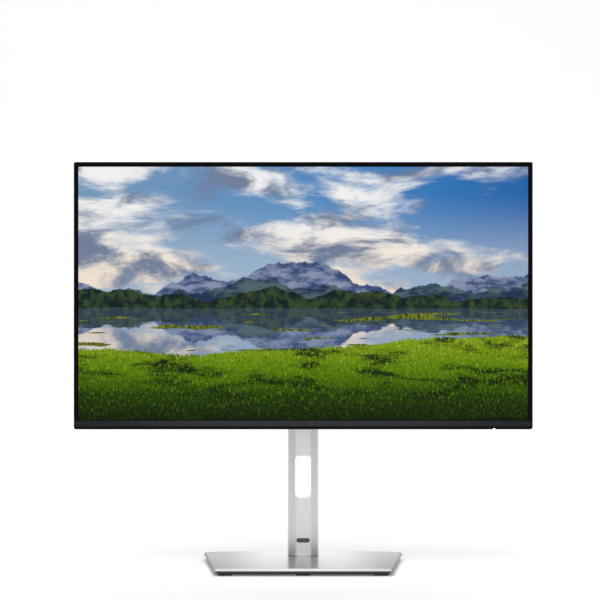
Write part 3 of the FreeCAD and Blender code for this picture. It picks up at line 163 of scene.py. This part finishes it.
def silver_paint(name, tone, rough, metal=1.0, ends=0.0, front=0.0, foot=0.0, slopes=0.0):
    """Satin silver paint with fine flakes.

    The last four set painted shade: how much darker the colour, and its reflection at grazing angles, get
    towards the ends, the front and the foot, and on slopes.
    """
    f = Finish(name)
    flakes = f.noise(scale=2600, detail=2, rough=0.6)
    cloud = f.noise(scale=9, detail=3, rough=0.5)
    base = f.mix(f.band(flakes, 0.35, 0.75), times(tone, 0.93), times(tone, 1.06))
    base = f.mix(f.calc("MULTIPLY", cloud, 0.10), base, times(tone, 0.86))
    spot = f.add("SeparateXYZ", {"Vector": f.place})
    aside = f.calc("ABSOLUTE", spot.outputs["X"])
    # Painted shade, fixed to the part: darker towards the ends, the front and the foot, and on the bevels'
    # slopes, where the studio light and its reflections fall off.
    end_shade = f.band(aside, 35 * MM, 110 * MM, new_high=ends)
    front_shade = f.band(spot.outputs["Y"], 60 * MM, -90 * MM, new_high=front)
    foot_shade = f.band(spot.outputs["Z"], 75 * MM, 10 * MM, new_high=foot)
    upright = f.add("SeparateXYZ", {"Vector": f.add("TexCoord").outputs["Normal"]}).outputs["Z"]
    slope_shade = f.band(upright, 0.97, 0.85, new_high=slopes)
    # The painted shade is mixed into the colour, down to half its tone, and on slopes down to a fifth.
    painted_shade = f.clamp(f.calc("MAXIMUM", f.calc("ADD", end_shade, front_shade), foot_shade))
    base = f.mix(painted_shade, base, times(tone, 0.5))
    base = f.mix(slope_shade, base, times(tone, 0.2))
    grain = f.calc("ADD", f.calc("MULTIPLY", flakes, 0.10), f.calc("MULTIPLY", cloud, 0.08))
    f.set(Base_Color=base, Metallic=metal, Roughness=f.calc("ADD", grain, rough - 0.09))
    # Painted shade in the reflection as well: the edge tint dims wherever the colour is shaded.
    f.set(Specular_Tint=f.mix(painted_shade, (1.0, 1.0, 1.0), (0.5, 0.5, 0.5)))
    f.bump(f.noise(scale=900, detail=2, rough=0.5), strength=0.05, distance=0.2 * MM)
    return f.material


def grained_plastic(name, tone, rough=0.5, grain=1400, depth=0.25, sheen=0.5):
    """Moulded plastic with a fine spark-eroded grain."""
    f = Finish(name)
    fine = f.noise(scale=grain, detail=3, rough=0.6)
    wide = f.noise(scale=14, detail=4, rough=0.55)
    haze = 0.002
    light = [part + haze for part in times(tone, 1.35)]
    base = f.mix(f.band(fine, 0.3, 0.7), tone, light)
    base = f.mix(f.calc("MULTIPLY", wide, 0.18), base, times(tone, 0.7))
    f.set(Base_Color=base, Roughness=f.calc("ADD", f.calc("MULTIPLY", fine, 0.16), rough - 0.08))
    f.set(Specular_IOR_Level=sheen)
    f.bump(fine, strength=depth, distance=0.12 * MM)
    return f.material


def chin_finish(name):
    """The chin bar: dark grey with a fine lengthwise brushing, and painted shade that makes it darker towards
    the ends.
    """
    f = Finish(name)
    across = f.add("SeparateXYZ", {"Vector": f.place}).outputs["X"]
    # Painted shade: the mask that darkens the ends of the bar.
    ends = f.band(f.calc("ABSOLUTE", across), 100 * MM, 268 * MM)
    lines = f.noise(scale=500, detail=3, rough=0.6, stretch=(0.02, 1, 6))
    base = f.mix(lines, (0.013, 0.0135, 0.016), (0.022, 0.023, 0.027))
    # The painted shade is mixed in towards the ends.
    base = f.mix(ends, base, (0.0045, 0.005, 0.007))
    f.set(Base_Color=base, Roughness=f.calc("ADD", f.calc("MULTIPLY", lines, 0.2), 0.40))
    f.set(Specular_IOR_Level=0.22)
    f.bump(lines, strength=0.12, distance=0.1 * MM)
    return f.material


# How much finer the streaks of a steel part are along X, Y and Z.
EVEN = (1, 1, 1)
ACROSS = (12, 1, 1)
UPWARD = (1, 1, 12)


def steel(name, tone=(0.56, 0.57, 0.58), rough=0.32, brushed=UPWARD):
    """Zinc-plated or brushed steel with streaks and a faint crystal pattern."""
    f = Finish(name)
    streaks = f.noise(scale=420, detail=4, rough=0.6, stretch=brushed)
    crystals = f.add("TexVoronoi", {"Vector": f.place, "Scale": 160}).outputs["Distance"]
    base = f.mix(streaks, times(tone, 0.82), times(tone, 1.14))
    base = f.mix(f.calc("MULTIPLY", crystals, 0.25), base, times(tone, 0.9))
    worn = f.calc("ADD", f.calc("MULTIPLY", streaks, 0.22), rough - 0.1)
    f.set(Base_Color=base, Metallic=1.0, Roughness=worn)
    f.bump(streaks, strength=0.06, distance=0.1 * MM)
    return f.material


def rubber(name):
    """Matt black rubber with a fine speckle."""
    f = Finish(name)
    speck = f.noise(scale=1800, detail=3, rough=0.7)
    f.set(Base_Color=f.mix(speck, (0.010, 0.010, 0.010), (0.034, 0.034, 0.036)), Roughness=0.85)
    f.bump(speck, strength=0.4, distance=0.2 * MM)
    return f.material


def nylon(name):
    """Off-white nylon, slightly mottled."""
    f = Finish(name)
    mottle = f.noise(scale=220, detail=4, rough=0.6)
    f.set(Base_Color=f.mix(mottle, (0.62, 0.61, 0.56), (0.80, 0.79, 0.74)), Roughness=0.42)
    f.set(Subsurface_Weight=0.08)
    f.bump(mottle, strength=0.08, distance=0.2 * MM)
    return f.material


def film(name):
    """White optical film with a faint haze."""
    f = Finish(name)
    haze = f.noise(scale=60, detail=3, rough=0.5)
    f.set(Base_Color=f.mix(haze, (0.80, 0.82, 0.84), (0.92, 0.93, 0.94)))
    f.set(Roughness=f.band(haze, 0, 1, new_low=0.25, new_high=0.45))
    return f.material


def acrylic(name):
    """The light guide: clear sheet with a grid of fine printed dots."""
    f = Finish(name)
    dots = f.add("TexVoronoi", {"Vector": f.place, "Scale": 600}).outputs["Distance"]
    f.set(Base_Color=f.mix(f.band(dots, 0.1, 0.35), (0.95, 0.96, 0.97), (0.72, 0.80, 0.84)), Roughness=0.12)
    f.set(Transmission_Weight=0.5, IOR=1.49)
    return f.material


def circuit_board(name, mask, copper):
    """Solder mask over a maze of tracks, with small pads."""
    f = Finish(name)
    cells = f.add("TexVoronoi", {"Vector": f.place, "Scale": 240}, distance="MANHATTAN", feature="F1")
    tracks = f.band(f.calc("FRACT", f.calc("MULTIPLY", cells.outputs["Distance"], 4)), 0.62, 0.70)
    pads = f.band(f.add("TexVoronoi", {"Vector": f.place, "Scale": 170}).outputs["Distance"], 0.20, 0.16)
    base = f.mix(tracks, mask, times(mask, 1.8))
    base = f.mix(pads, base, copper)
    f.set(Base_Color=base, Roughness=f.calc("SUBTRACT", 0.38, f.calc("MULTIPLY", pads, 0.12)))
    f.set(Metallic=f.calc("MULTIPLY", pads, 0.8))
    f.bump(f.calc("ADD", tracks, pads), strength=0.3, distance=0.1 * MM)
    return f.material


def moulded_parts(name):
    """Board components: mostly black epoxy, with some grey and blue ones."""
    f = Finish(name)
    which = f.add("TexVoronoi", {"Vector": f.stretch((26, 0.01, 26)), "Scale": 1}).outputs["Color"]
    pick = f.add("SeparateColor", {"Color": which}).outputs[0]
    base = f.ramp(pick, [
        (0.0, (0.02, 0.02, 0.022)), (0.55, (0.03, 0.03, 0.035)),
        (0.62, (0.30, 0.31, 0.33)), (0.8, (0.03, 0.06, 0.16)),
    ])
    speck = f.noise(scale=900, detail=2, rough=0.6)
    f.set(Base_Color=f.mix(f.calc("MULTIPLY", speck, 0.3), base, (0.09, 0.09, 0.09)), Roughness=0.45)
    f.bump(speck, strength=0.15, distance=0.2 * MM)
    return f.material


def brass(name):
    """Turned brass."""
    f = Finish(name)
    turned = f.noise(scale=700, detail=3, rough=0.6, stretch=(1, 6, 1))
    f.set(Base_Color=f.mix(turned, (0.52, 0.36, 0.14), (0.78, 0.60, 0.28)), Metallic=1.0, Roughness=0.3)
    f.bump(turned, strength=0.1, distance=0.1 * MM)
    return f.material


def ribbon(name):
    """A polyimide ribbon with fine lengthwise conductors."""
    f = Finish(name)
    across = f.add("SeparateXYZ", {"Vector": f.place}).outputs["X"]
    lines = f.band(f.calc("FRACT", f.calc("MULTIPLY", across, 1000)), 0.45, 0.6)
    f.set(Base_Color=f.mix(lines, (0.50, 0.24, 0.05), (0.66, 0.40, 0.14)), Roughness=0.35)
    f.bump(lines, strength=0.2, distance=0.1 * MM)
    return f.material


def lamp(name, tone, strength):
    """A lamp's lens, lit or unlit."""
    f = Finish(name)
    depth = f.noise(scale=400, detail=2, rough=0.5)
    glow = f.mix(depth, times(tone, 0.85), tone)
    f.set(Base_Color=glow, Emission_Color=glow, Emission_Strength=strength, Roughness=0.3)
    return f.material


def ridge(f, across, level, swing, scale, seed):
    """The height of a made-up skyline at each point across the picture."""
    line = f.add("CombineXYZ", {"X": across, "Y": 0.0, "Z": 0.0}).outputs["Vector"]
    shift = f.add("Mapping", {"Vector": line, "Location": (seed, seed * 0.7, 0)}).outputs["Vector"]
    rise = f.add("TexNoise", {"Vector": shift, "Scale": scale, "Detail": 7, "Roughness": 0.52}).outputs["Fac"]
    return f.calc("ADD", f.calc("MULTIPLY", f.calc("SUBTRACT", rise, 0.5), swing), level)


def under(f, height, up, soft=0.003):
    """One below a skyline and nothing above it, with a soft edge."""
    return f.band(f.calc("SUBTRACT", height, up), -soft, soft)


def land_and_sky(f, across, up):
    """Sky, clouds and three rows of hills, as seen at one height in the picture."""
    flat = f.add("CombineXYZ", {"X": across, "Y": up, "Z": 0.0}).outputs["Vector"]
    sky_side = f.ramp(across, [
        (0.0, screen_tone(118, 150, 184)), (0.45, screen_tone(88, 140, 190)),
        (0.8, screen_tone(52, 116, 180)), (1.0, screen_tone(34, 98, 166)),
    ])
    haze = f.band(up, 0.92, 0.52)
    sky = f.mix(f.calc("MULTIPLY", haze, 0.7), sky_side, screen_tone(176, 194, 208))
    puffs = f.noise(scale=2.4, detail=12, rough=0.58, stretch=(1.0, 1.9, 1), where=flat, twist=0.35)
    folds = f.noise(scale=5.5, detail=10, rough=0.60, stretch=(1.0, 1.5, 1), where=flat, twist=0.5)
    cover = f.calc("ADD", puffs, f.band(across, 0.75, 0.0, new_high=0.07))
    cloud = f.mix(f.band(up, 0.52, 0.85), screen_tone(240, 224, 206), screen_tone(240, 240, 240))
    cloud = f.mix(f.band(folds, 0.58, 0.40), cloud, screen_tone(112, 126, 152))
    view = f.mix(f.band(cover, 0.47, 0.60), sky, cloud)

    rock = f.noise(scale=17, detail=9, rough=0.64, stretch=(1, 1.4, 1), where=flat)
    gully = f.noise(scale=42, detail=6, rough=0.6, stretch=(1.3, 0.6, 1), where=flat)
    far = ridge(f, across, 0.575, swing=0.50, scale=4.0, seed=3.1)
    far_tone = f.mix(f.band(rock, 0.40, 0.60), screen_tone(52, 72, 116), screen_tone(132, 144, 172))
    view = f.mix(under(f, far, up), view, far_tone)
    middle = ridge(f, across, 0.515, swing=0.40, scale=4.6, seed=8.4)
    middle_tone = f.mix(f.band(rock, 0.42, 0.60), screen_tone(30, 50, 78), screen_tone(78, 100, 104))
    view = f.mix(under(f, middle, up), view, middle_tone)
    lift = f.calc("MULTIPLY", f.band(across, 0.55, 0.0), 0.05)
    near = f.calc("ADD", ridge(f, across, 0.480, swing=0.20, scale=7.0, seed=14.6), lift)
    near_tone = f.mix(f.band(gully, 0.40, 0.62), screen_tone(16, 32, 34), screen_tone(52, 70, 42))
    return f.mix(under(f, near, up), view, near_tone)


def screen_finish(name):
    """The panel's glass: a made-up lake among hills inside a black border."""
    f = Finish(name)
    spot = f.add("SeparateXYZ", {"Vector": f.place})
    across = f.calc("ADD", f.calc("DIVIDE", spot.outputs["X"], PICTURE_WIDTH), 0.5)
    above_axis = f.calc("SUBTRACT", spot.outputs["Z"], AXIS_HEIGHT)
    up = f.calc("ADD", f.calc("DIVIDE", above_axis, PICTURE_HEIGHT), 0.5)
    flat = f.add("CombineXYZ", {"X": across, "Y": up, "Z": 0.0}).outputs["Vector"]
    scene = land_and_sky(f, across, up)

    shore_level = 0.440
    shore = ridge(f, across, shore_level, swing=0.02, scale=6.0, seed=21.0)
    ripple = f.noise(scale=30, detail=4, rough=0.55, stretch=(0.35, 9, 1), where=flat)
    shiver = f.calc("MULTIPLY", f.calc("SUBTRACT", ripple, 0.5), 0.035)
    mirrored = f.calc("ADD", f.calc("SUBTRACT", 2 * shore_level, up), shiver)
    water = f.mix(0.22, land_and_sky(f, across, mirrored), screen_tone(84, 104, 132))
    water = f.mix(f.band(ripple, 0.60, 0.72, new_high=0.25), water, screen_tone(176, 190, 206))
    scene = f.mix(under(f, shore, up, 0.002), scene, water)
    reeds = f.noise(scale=4.5, detail=3, rough=0.5, stretch=(1, 7, 1), where=flat)
    blades = f.noise(scale=95, detail=5, rough=0.7, stretch=(1.6, 0.32, 1), where=flat)
    reed_tone = f.mix(f.band(blades, 0.38, 0.62), screen_tone(40, 56, 14), screen_tone(122, 132, 44))
    zone = f.calc("MULTIPLY", f.band(reeds, 0.585, 0.60), f.band(up, 0.428, 0.418))
    scene = f.mix(zone, scene, reed_tone)

    rise = f.calc("MULTIPLY", f.band(across, 0.40, 1.0), 0.05)
    fringe = f.calc("MULTIPLY", f.calc("SUBTRACT", blades, 0.5), 0.05)
    bank = ridge(f, across, 0.275, swing=0.10, scale=3.4, seed=30.2)
    bank = f.calc("ADD", f.calc("ADD", bank, rise), fringe)
    tufts = f.noise(scale=7, detail=8, rough=0.66, stretch=(1, 2.2, 1), where=flat, twist=0.4)
    stalks = f.noise(scale=150, detail=4, rough=0.75, stretch=(1.5, 0.42, 1), where=flat, twist=0.8)
    grass = f.ramp(up, [
        (0.0, screen_tone(12, 22, 0)), (0.10, screen_tone(32, 58, 0)),
        (0.20, screen_tone(84, 122, 0)), (0.34, screen_tone(132, 158, 22)),
    ])
    grass = f.mix(f.band(tufts, 0.46, 0.62), grass, screen_tone(18, 38, 2))
    bright = f.ramp(up, [
        (0.0, screen_tone(44, 66, 2)), (0.14, screen_tone(118, 152, 10)), (0.3, screen_tone(176, 196, 60)),
    ])
    grass = f.mix(f.calc("MULTIPLY", f.band(stalks, 0.52, 0.66), 0.7), grass, bright)
    grass = f.mix(f.calc("MULTIPLY", f.band(stalks, 0.46, 0.32), 0.7), grass, screen_tone(10, 22, 0))
    scene = f.mix(under(f, bank, up, 0.004), scene, grass)

    from_middle_x = f.calc("ABSOLUTE", f.calc("SUBTRACT", across, 0.5))
    from_middle_y = f.calc("ABSOLUTE", f.calc("SUBTRACT", up, 0.5))
    inside_x = f.band(from_middle_x, 0.5002, 0.4998)
    inside_y = f.band(from_middle_y, 0.5003, 0.4997)
    facing = f.add("SeparateXYZ", {"Vector": f.add("TexCoord").outputs["Normal"]}).outputs["Y"]
    front = f.band(facing, -0.4, -0.6)
    lit = f.calc("MULTIPLY", f.calc("MULTIPLY", inside_x, inside_y), front)
    picture = f.mix(lit, (0.0, 0.0, 0.0), scene)
    grit = f.noise(scale=2400, detail=2, rough=0.6)
    f.set(Base_Color=f.mix(grit, (0.0010, 0.0010, 0.0014), (0.0022, 0.0022, 0.0026)))
    f.set(Emission_Color=picture, Emission_Strength=1.0, Roughness=0.40, Specular_IOR_Level=0.04)
    f.bump(grit, strength=0.05, distance=0.1 * MM)
    return f.material


# ---- which finish goes where ------------------------------------------------


def make_finishes():
    return {
        # The base and column paint carry painted shade: ends, front, foot and slopes say how much.
        "base_paint": silver_paint("base_paint", (0.8, 0.8, 0.8), 0.24, ends=0.52, front=0.24, slopes=0.79),
        "column_paint": silver_paint("column_paint", (0.76, 0.76, 0.765), 0.31, metal=0.72, foot=0.12),
        "head_paint": silver_paint("head_paint", (0.60, 0.60, 0.605), 0.36, metal=0.6),
        "tray": grained_plastic("tray_plastic", (0.022, 0.023, 0.028), 0.5),
        "rubber": rubber("foot_rubber"),
        "nylon": nylon("nylon"),
        "zinc": steel("zinc_steel"),
        "bright": steel("bright_steel", (0.66, 0.66, 0.67), 0.24, EVEN),
        "blued": steel("blued_steel", (0.25, 0.27, 0.31), 0.30, ACROSS),
        "cast": steel("cast_alloy", (0.50, 0.51, 0.52), 0.48, EVEN),
        "badge": grained_plastic("badge_plastic", (0.050, 0.050, 0.056), 0.32, grain=900, depth=0.1),
        "frame": grained_plastic("frame_plastic", (0.0014, 0.0016, 0.0028), 0.55, sheen=0.06),
        "cover": grained_plastic("cover_plastic", (0.017, 0.017, 0.019), 0.55, grain=1100, depth=0.45),
        "keys": grained_plastic("key_plastic", (0.040, 0.040, 0.043), 0.34, grain=1600, depth=0.15),
        "gasket": grained_plastic("gasket_rubber", (0.012, 0.012, 0.012), 0.7, sheen=0.2),
        "chin": chin_finish("chin_brushed"),
        "screen": screen_finish("screen_picture"),
        "film": film("white_film"),
        "acrylic": acrylic("clear_acrylic"),
        "lamps": lamp("lamp_bar", (0.85, 0.87, 0.80), strength=0.0),
        "board": circuit_board("board_green", (0.012, 0.070, 0.030), (0.60, 0.48, 0.26)),
        "board_tan": circuit_board("board_tan", (0.30, 0.20, 0.09), (0.62, 0.60, 0.56)),
        "parts": moulded_parts("board_parts"),
        "brass": brass("brass"),
        "socket": steel("socket_metal", (0.62, 0.61, 0.58), 0.22, EVEN),
        "socket_black": grained_plastic("socket_black", (0.015, 0.015, 0.016), 0.4),
        "ribbon": ribbon("ribbon_film"),
        "led": lamp("power_lamp", (0.92, 0.96, 1.0), strength=1.6),
    }


NODE_FINISH = {
    "base_top_plate": "base_paint",
    "base_tray": "tray",
    "foot_pads": "rubber",
    "swivel_bush": "nylon",
    "tray_screws": "zinc",
    "column_front_cover": "column_paint",
    "column_rear_cover": "column_paint",
    "column_top_cap": "column_paint",
    "column_badge": "badge",
    "cable_slot_collar": "column_paint",
    "rail_channel": "zinc",
    "column_foot_block": "cast",
    "swivel_hub": "bright",
    "foot_screws": "zinc",
    "spring_strip": "blued",
    "thumbscrew_washer": "bright",
    "thumbscrew": "zinc",
    "thumbscrew_bail": "bright",
    "carriage": "cast",
    "slider_pads": "nylon",
    "spool_axle": "bright",
    "spring_coil": "blued",
    "pivot_hub": "zinc",
    "tilt_bracket": "zinc",
    "tilt_shaft": "bright",
    "tilt_washers": "blued",
    "tilt_nut": "zinc",
    "head_cover": "head_paint",
    "mount_plate": "zinc",
    "pivot_ring": "bright",
    "rear_cover": "cover",
    "middle_frame": "frame",
    "power_led_lens": "led",
    "chin_bar": "chin",
    "lcd_glass": "screen",
    "diffuser_sheet": "film",
    "prism_sheets": "film",
    "light_guide": "acrylic",
    "led_strip": "lamps",
    "reflector_sheet": "film",
    "backlight_chassis": "zinc",
    "vesa_bracket": "zinc",
    "power_board": "board_tan",
    "main_board": "board",
    "board_standoffs": "brass",
    "power_parts": "parts",
    "board_chips": "parts",
    "power_inlet": "socket_black",
    "video_ports": "socket",
    "usb_ports": "socket",
    "panel_cable": "ribbon",
    "key_board": "board",
    "power_button": "keys",
    "stick_carrier": "nylon",
    "stick_gimbal": "nylon",
    "stick_cap": "keys",
    "release_button": "keys",
    "stand_latch": "zinc",
}

# Edge rounding in millimetres; a node that isn't listed keeps its sharp edges.
EDGE = {
    "base_top_plate": 0.35,
    "base_tray": 0.4,
    "foot_pads": 0.3,
    "column_front_cover": 0.3,
    "column_rear_cover": 0.3,
    "cable_slot_collar": 0.2,
    "column_top_cap": 0.3,
    "column_badge": 0.2,
    "middle_frame": 0.35,
    "chin_bar": 0.25,
    "lcd_glass": 0.12,
    "rear_cover": 0.4,
    "mount_plate": 0.3,
    "head_cover": 0.4,
    "release_button": 0.3,
    "power_button": 0.3,
    "stick_cap": 0.3,
    "vesa_bracket": 0.2,
    "pivot_hub": 0.3,
    "carriage": 0.4,
}
EDGE_ANGLE = math.radians(32)
EDGE_STEPS = 2
FLAT_FACE_PULL = 80


def dress(finishes):
    """Gives every CAD node its finish, and softens the edges of the ones that show."""
    for name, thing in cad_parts.items():
        thing.data.materials.clear()
        thing.data.materials.append(finishes[NODE_FINISH[name]])
        weld = thing.modifiers.new("weld", "WELD")
        weld.merge_threshold = WELD_REACH
        if name in EDGE:
            soft = thing.modifiers.new("soft_edges", "BEVEL")
            soft.width = EDGE[name] * MM
            soft.segments = EDGE_STEPS
            soft.limit_method = "ANGLE"
            soft.angle_limit = EDGE_ANGLE
        thing.data.shade_smooth()
        normals = thing.modifiers.new("face_normals", "WEIGHTED_NORMAL")
        normals.keep_sharp = True
        normals.weight = FLAT_FACE_PULL


# ---- extra pieces ------------------------------------------------------------


def mesh_object(name, points, faces, finish):
    """A new object from corners and faces."""
    mesh = bpy.data.meshes.new(name)
    mesh.from_pydata(points, [], faces)
    mesh.materials.append(finish)
    thing = bpy.data.objects.new(name, mesh)
    bpy.context.scene.collection.objects.link(thing)
    return thing


SQUARE = 4
BOX_FACES = [(0, 2, 3, 1), (4, 5, 7, 6), (0, 1, 5, 4), (2, 6, 7, 3), (0, 4, 6, 2), (1, 3, 7, 5)]


def add_box(points, faces, low, high):
    """Adds a box between two corners to the lists."""
    first = len(points)
    for x in (low[0], high[0]):
        for y in (low[1], high[1]):
            for z in (low[2], high[2]):
                points.append((x, y, z))
    faces += [tuple(first + corner for corner in face) for face in BOX_FACES]


def islands(node):
    """The lowest and highest corners of each separate solid of a CAD node."""
    mesh = bmesh.new()
    mesh.from_mesh(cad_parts[node].data)
    bmesh.ops.remove_doubles(mesh, verts=mesh.verts, dist=WELD_REACH)
    left = set(mesh.verts)
    found = []
    while left:
        wave = [left.pop()]
        spots = []
        while wave:
            corner = wave.pop()
            spots.append(corner.co.copy())
            for edge in corner.link_edges:
                other = edge.other_vert(corner)
                if other in left:
                    left.remove(other)
                    wave.append(other)
        low = tuple(min(spot[axis] for spot in spots) for axis in range(3))
        high = tuple(max(spot[axis] for spot in spots) for axis in range(3))
        found.append((low, high))
    mesh.free()
    return sorted(found)


def make_contacts(finish):
    """Rows of small sprung contacts on both faces of the tongue of every socket."""
    pitch = 1.0 * MM
    half_wide = 0.28 * MM
    tongue_half = 0.6 * MM
    thick = 0.12 * MM
    start = 2.0 * MM
    length = 6.0 * MM
    used_width = 2 / 3
    points = []
    faces = []
    for node in ("video_ports", "usb_ports"):
        for low, high in islands(node):
            middle_x = (low[0] + high[0]) / 2
            middle_y = (low[1] + high[1]) / 2
            bottom = low[2] + start
            count = int((high[0] - low[0]) * used_width / pitch) - 1
            for index in range(count):
                x = middle_x + (index - (count - 1) / 2) * pitch
                for near in (-tongue_half - thick, tongue_half):
                    corner = (x - half_wide, middle_y + near, bottom)
                    opposite = (x + half_wide, middle_y + near + thick, bottom + length)
                    add_box(points, faces, corner, opposite)
    contacts = mesh_object("port_contacts", points, faces, finish)
    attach(contacts, "display")


def make_vent_screen(finish):
    """A perforated dust screen just inside the row of cooling slots."""
    half = 118 * MM
    cell = 2.0 * MM
    bar = 0.35 * MM
    thick = 0.25 * MM
    front = Vector((0, -23.5, 85.6)) * MM
    back = Vector((0, -6.5, 72.3)) * MM
    front.z += AXIS_HEIGHT
    back.z += AXIS_HEIGHT
    rows = round((back - front).length / cell)
    columns = round(2 * half / cell)
    points = []
    faces = []
    down = (back - front) / rows
    across = Vector((2 * half / columns, 0, 0))
    for row in range(rows):
        for column in range(columns):
            corner = front + down * row + across * column - Vector((half, 0, 0))
            first = len(points)
            for inset in (0, bar / cell):
                rest = 1 - inset
                for u, v in ((inset, inset), (rest, inset), (rest, rest), (inset, rest)):
                    points.append(corner + across * u + down * v)
            for side in range(SQUARE):
                after = (side + 1) % SQUARE
                inner = first + SQUARE
                faces.append((first + side, first + after, inner + after, inner + side))
    screen = mesh_object("vent_screen", points, faces, finish)
    body = screen.modifiers.new("sheet", "SOLIDIFY")
    body.thickness = thick
    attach(screen, "display")


def outline_of(nodes, lowest):
    """The convex plan of some CAD nodes, from their corners above a level."""
    spots = set()
    for node in nodes:
        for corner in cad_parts[node].data.vertices:
            if corner.co.z > lowest:
                spots.add((round(corner.co.x, 6), round(corner.co.y, 6)))
    spots = sorted(spots)
    half_hulls = []
    for run in (spots, spots[::-1]):
        hull = []
        for spot in run:
            while len(hull) > 1:
                (ax, ay), (bx, by) = hull[-2:]
                if (bx - ax) * (spot[1] - ay) - (by - ay) * (spot[0] - ax) > 0:
                    break
                hull.pop()
            hull.append(spot)
        half_hulls.append(hull[:-1])
    return half_hulls[0] + half_hulls[1]


def make_gasket(finish):
    """The thin dark joint between the column's foot and the base."""
    outer_inset = 0.25 * MM
    inner_inset = 3 * MM
    clear = 0.05 * MM
    overlap = 0.3 * MM
    above_foot = 200 * MM
    outline = outline_of(("column_front_cover", "column_rear_cover"), above_foot)
    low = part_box("base_top_plate")[1][2] + clear
    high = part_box("column_front_cover")[0][2] + overlap
    middle = Vector((0, sum(spot[1] for spot in outline) / len(outline)))
    points = []
    for reach in (outer_inset, inner_inset):
        for level in (low, high):
            for spot in outline:
                arm = Vector(spot) - middle
                place = middle + arm * (1 - reach / arm.length)
                points.append((place.x, place.y, level))
    count = len(outline)
    faces = []
    for index in range(count):
        after = (index + 1) % count
        for first, second in ((0, 1), (1, 3), (3, 2), (2, 0)):
            start = first * count
            end = second * count
            faces.append((start + index, start + after, end + after, end + index))
    gasket = mesh_object("column_gasket", points, faces, finish)
    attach(gasket, "column")


# ---- room, light and camera --------------------------------------------------


def make_floor():
    """A pale floor that curves up into a backdrop."""
    f = Finish("pale_floor")
    mottle = f.noise(scale=3, detail=3, rough=0.5)
    f.set(Base_Color=f.mix(mottle, (0.91, 0.91, 0.91), (0.94, 0.94, 0.94)), Roughness=0.6)
    f.set(Emission_Color=(1.0, 1.0, 1.0, 1.0), Emission_Strength=0.10)
    half = 4.0
    near_edge = -4.5
    top = 5.0
    bend = 1.2
    start = 2.2
    steps = 16
    profile = [(near_edge, 0.0), (start, 0.0)]
    for step in range(1, steps + 1):
        angle = math.pi / 2 * step / steps
        profile.append((start + bend * math.sin(angle), bend * (1 - math.cos(angle))))
    profile.append((start + bend, top))
    points = [(x, y, z) for y, z in profile for x in (-half, half)]
    faces = [(2 * i, 2 * i + 1, 2 * i + 3, 2 * i + 2) for i in range(len(profile) - 1)]
    floor = mesh_object("floor", points, faces, f.material)
    floor.data.shade_smooth()


# Where each lamp hangs, what it points at, its width and height in metres, and its power in watts.
LAMPS = {
    "key": ((-0.6, -1.7, 2.9), (0, 0, 0.2), (2.6, 1.8), 40),
    "fill": ((1.2, -2.2, 1.8), (0, 0, 0.2), (1.6, 1.6), 12),
    "back": ((0.2, 1.9, 2.6), (0, 0.2, 0.1), (2.6, 1.2), 26),
}
# The room's brightness by how far sideways one looks, and the brightness that the camera itself sees.
ROOM_SHADES = ((0.0, 1.0), (0.60, 0.85), (0.88, 0.22))
ROOM_SEEN = 1.25
ROOM_STRENGTH = 0.80


def area_light(name, spot, aim, size, power):
    """One soft rectangular lamp."""
    data = bpy.data.lights.new(name, "AREA")
    data.shape = "RECTANGLE"
    data.size, data.size_y = size
    data.energy = power
    lamp_object = bpy.data.objects.new(name, data)
    lamp_object.location = spot
    lamp_object.rotation_euler = (Vector(aim) - Vector(spot)).to_track_quat("-Z", "Y").to_euler()
    bpy.context.scene.collection.objects.link(lamp_object)


def make_lights():
    """A pale room with darker sides, which only reflections show, and three soft lamps."""
    world = bpy.data.worlds.new("studio")
    bpy.context.scene.world = world
    world.use_nodes = True
    tree = world.node_tree
    background = tree.nodes["Background"]
    direction = tree.nodes.new("ShaderNodeTexCoord").outputs["Generated"]
    parts = tree.nodes.new("ShaderNodeSeparateXYZ")
    tree.links.new(direction, parts.inputs[0])
    side = tree.nodes.new("ShaderNodeMath")
    side.operation = "ABSOLUTE"
    tree.links.new(parts.outputs["X"], side.inputs[0])
    shade = tree.nodes.new("ShaderNodeValToRGB")
    line = shade.color_ramp
    line.elements.new(0.5)
    for element, (spot, level) in zip(line.elements, ROOM_SHADES):
        element.position = spot
        element.color = (level, level, level, 1.0)
    tree.links.new(side.outputs[0], shade.inputs["Fac"])
    seen = tree.nodes.new("ShaderNodeMix")
    seen.data_type = "RGBA"
    tree.links.new(tree.nodes.new("ShaderNodeLightPath").outputs["Is Camera Ray"], seen.inputs[MIX_AMOUNT])
    tree.links.new(shade.outputs["Color"], seen.inputs[MIX_FIRST])
    seen.inputs[MIX_SECOND].default_value = (ROOM_SEEN, ROOM_SEEN, ROOM_SEEN, 1.0)
    tree.links.new(seen.outputs[MIX_RESULT], background.inputs["Color"])
    background.inputs["Strength"].default_value = ROOM_STRENGTH
    for name, (spot, aim, size, power) in LAMPS.items():
        area_light(name, spot, aim, size, power)


CAMERA_X = -3.8 * MM
CAMERA_Y = -2615.5 * MM
CAMERA_Z = 327.6 * MM
LENS = 131.6
LENS_SHIFT = -0.01351
SENSOR = 36
NEAREST = 50 * MM
FARTHEST = 50


def make_camera():
    """A level camera in front of the screen, at the height of its middle."""
    data = bpy.data.cameras.new("camera")
    data.lens = LENS
    data.shift_y = LENS_SHIFT
    data.sensor_width = SENSOR
    data.clip_start = NEAREST
    data.clip_end = FARTHEST
    camera = bpy.data.objects.new("camera", data)
    camera.location = (CAMERA_X, CAMERA_Y, CAMERA_Z)
    camera.rotation_euler = (math.pi / 2, 0, 0)
    bpy.context.scene.collection.objects.link(camera)
    bpy.context.scene.camera = camera


bpy.context.scene.view_settings.view_transform = "Standard"
finishes = make_finishes()
dress(finishes)
make_contacts(finishes["brass"])
make_vent_screen(finishes["gasket"])
make_gasket(finishes["gasket"])
make_floor()
make_lights()
make_camera()
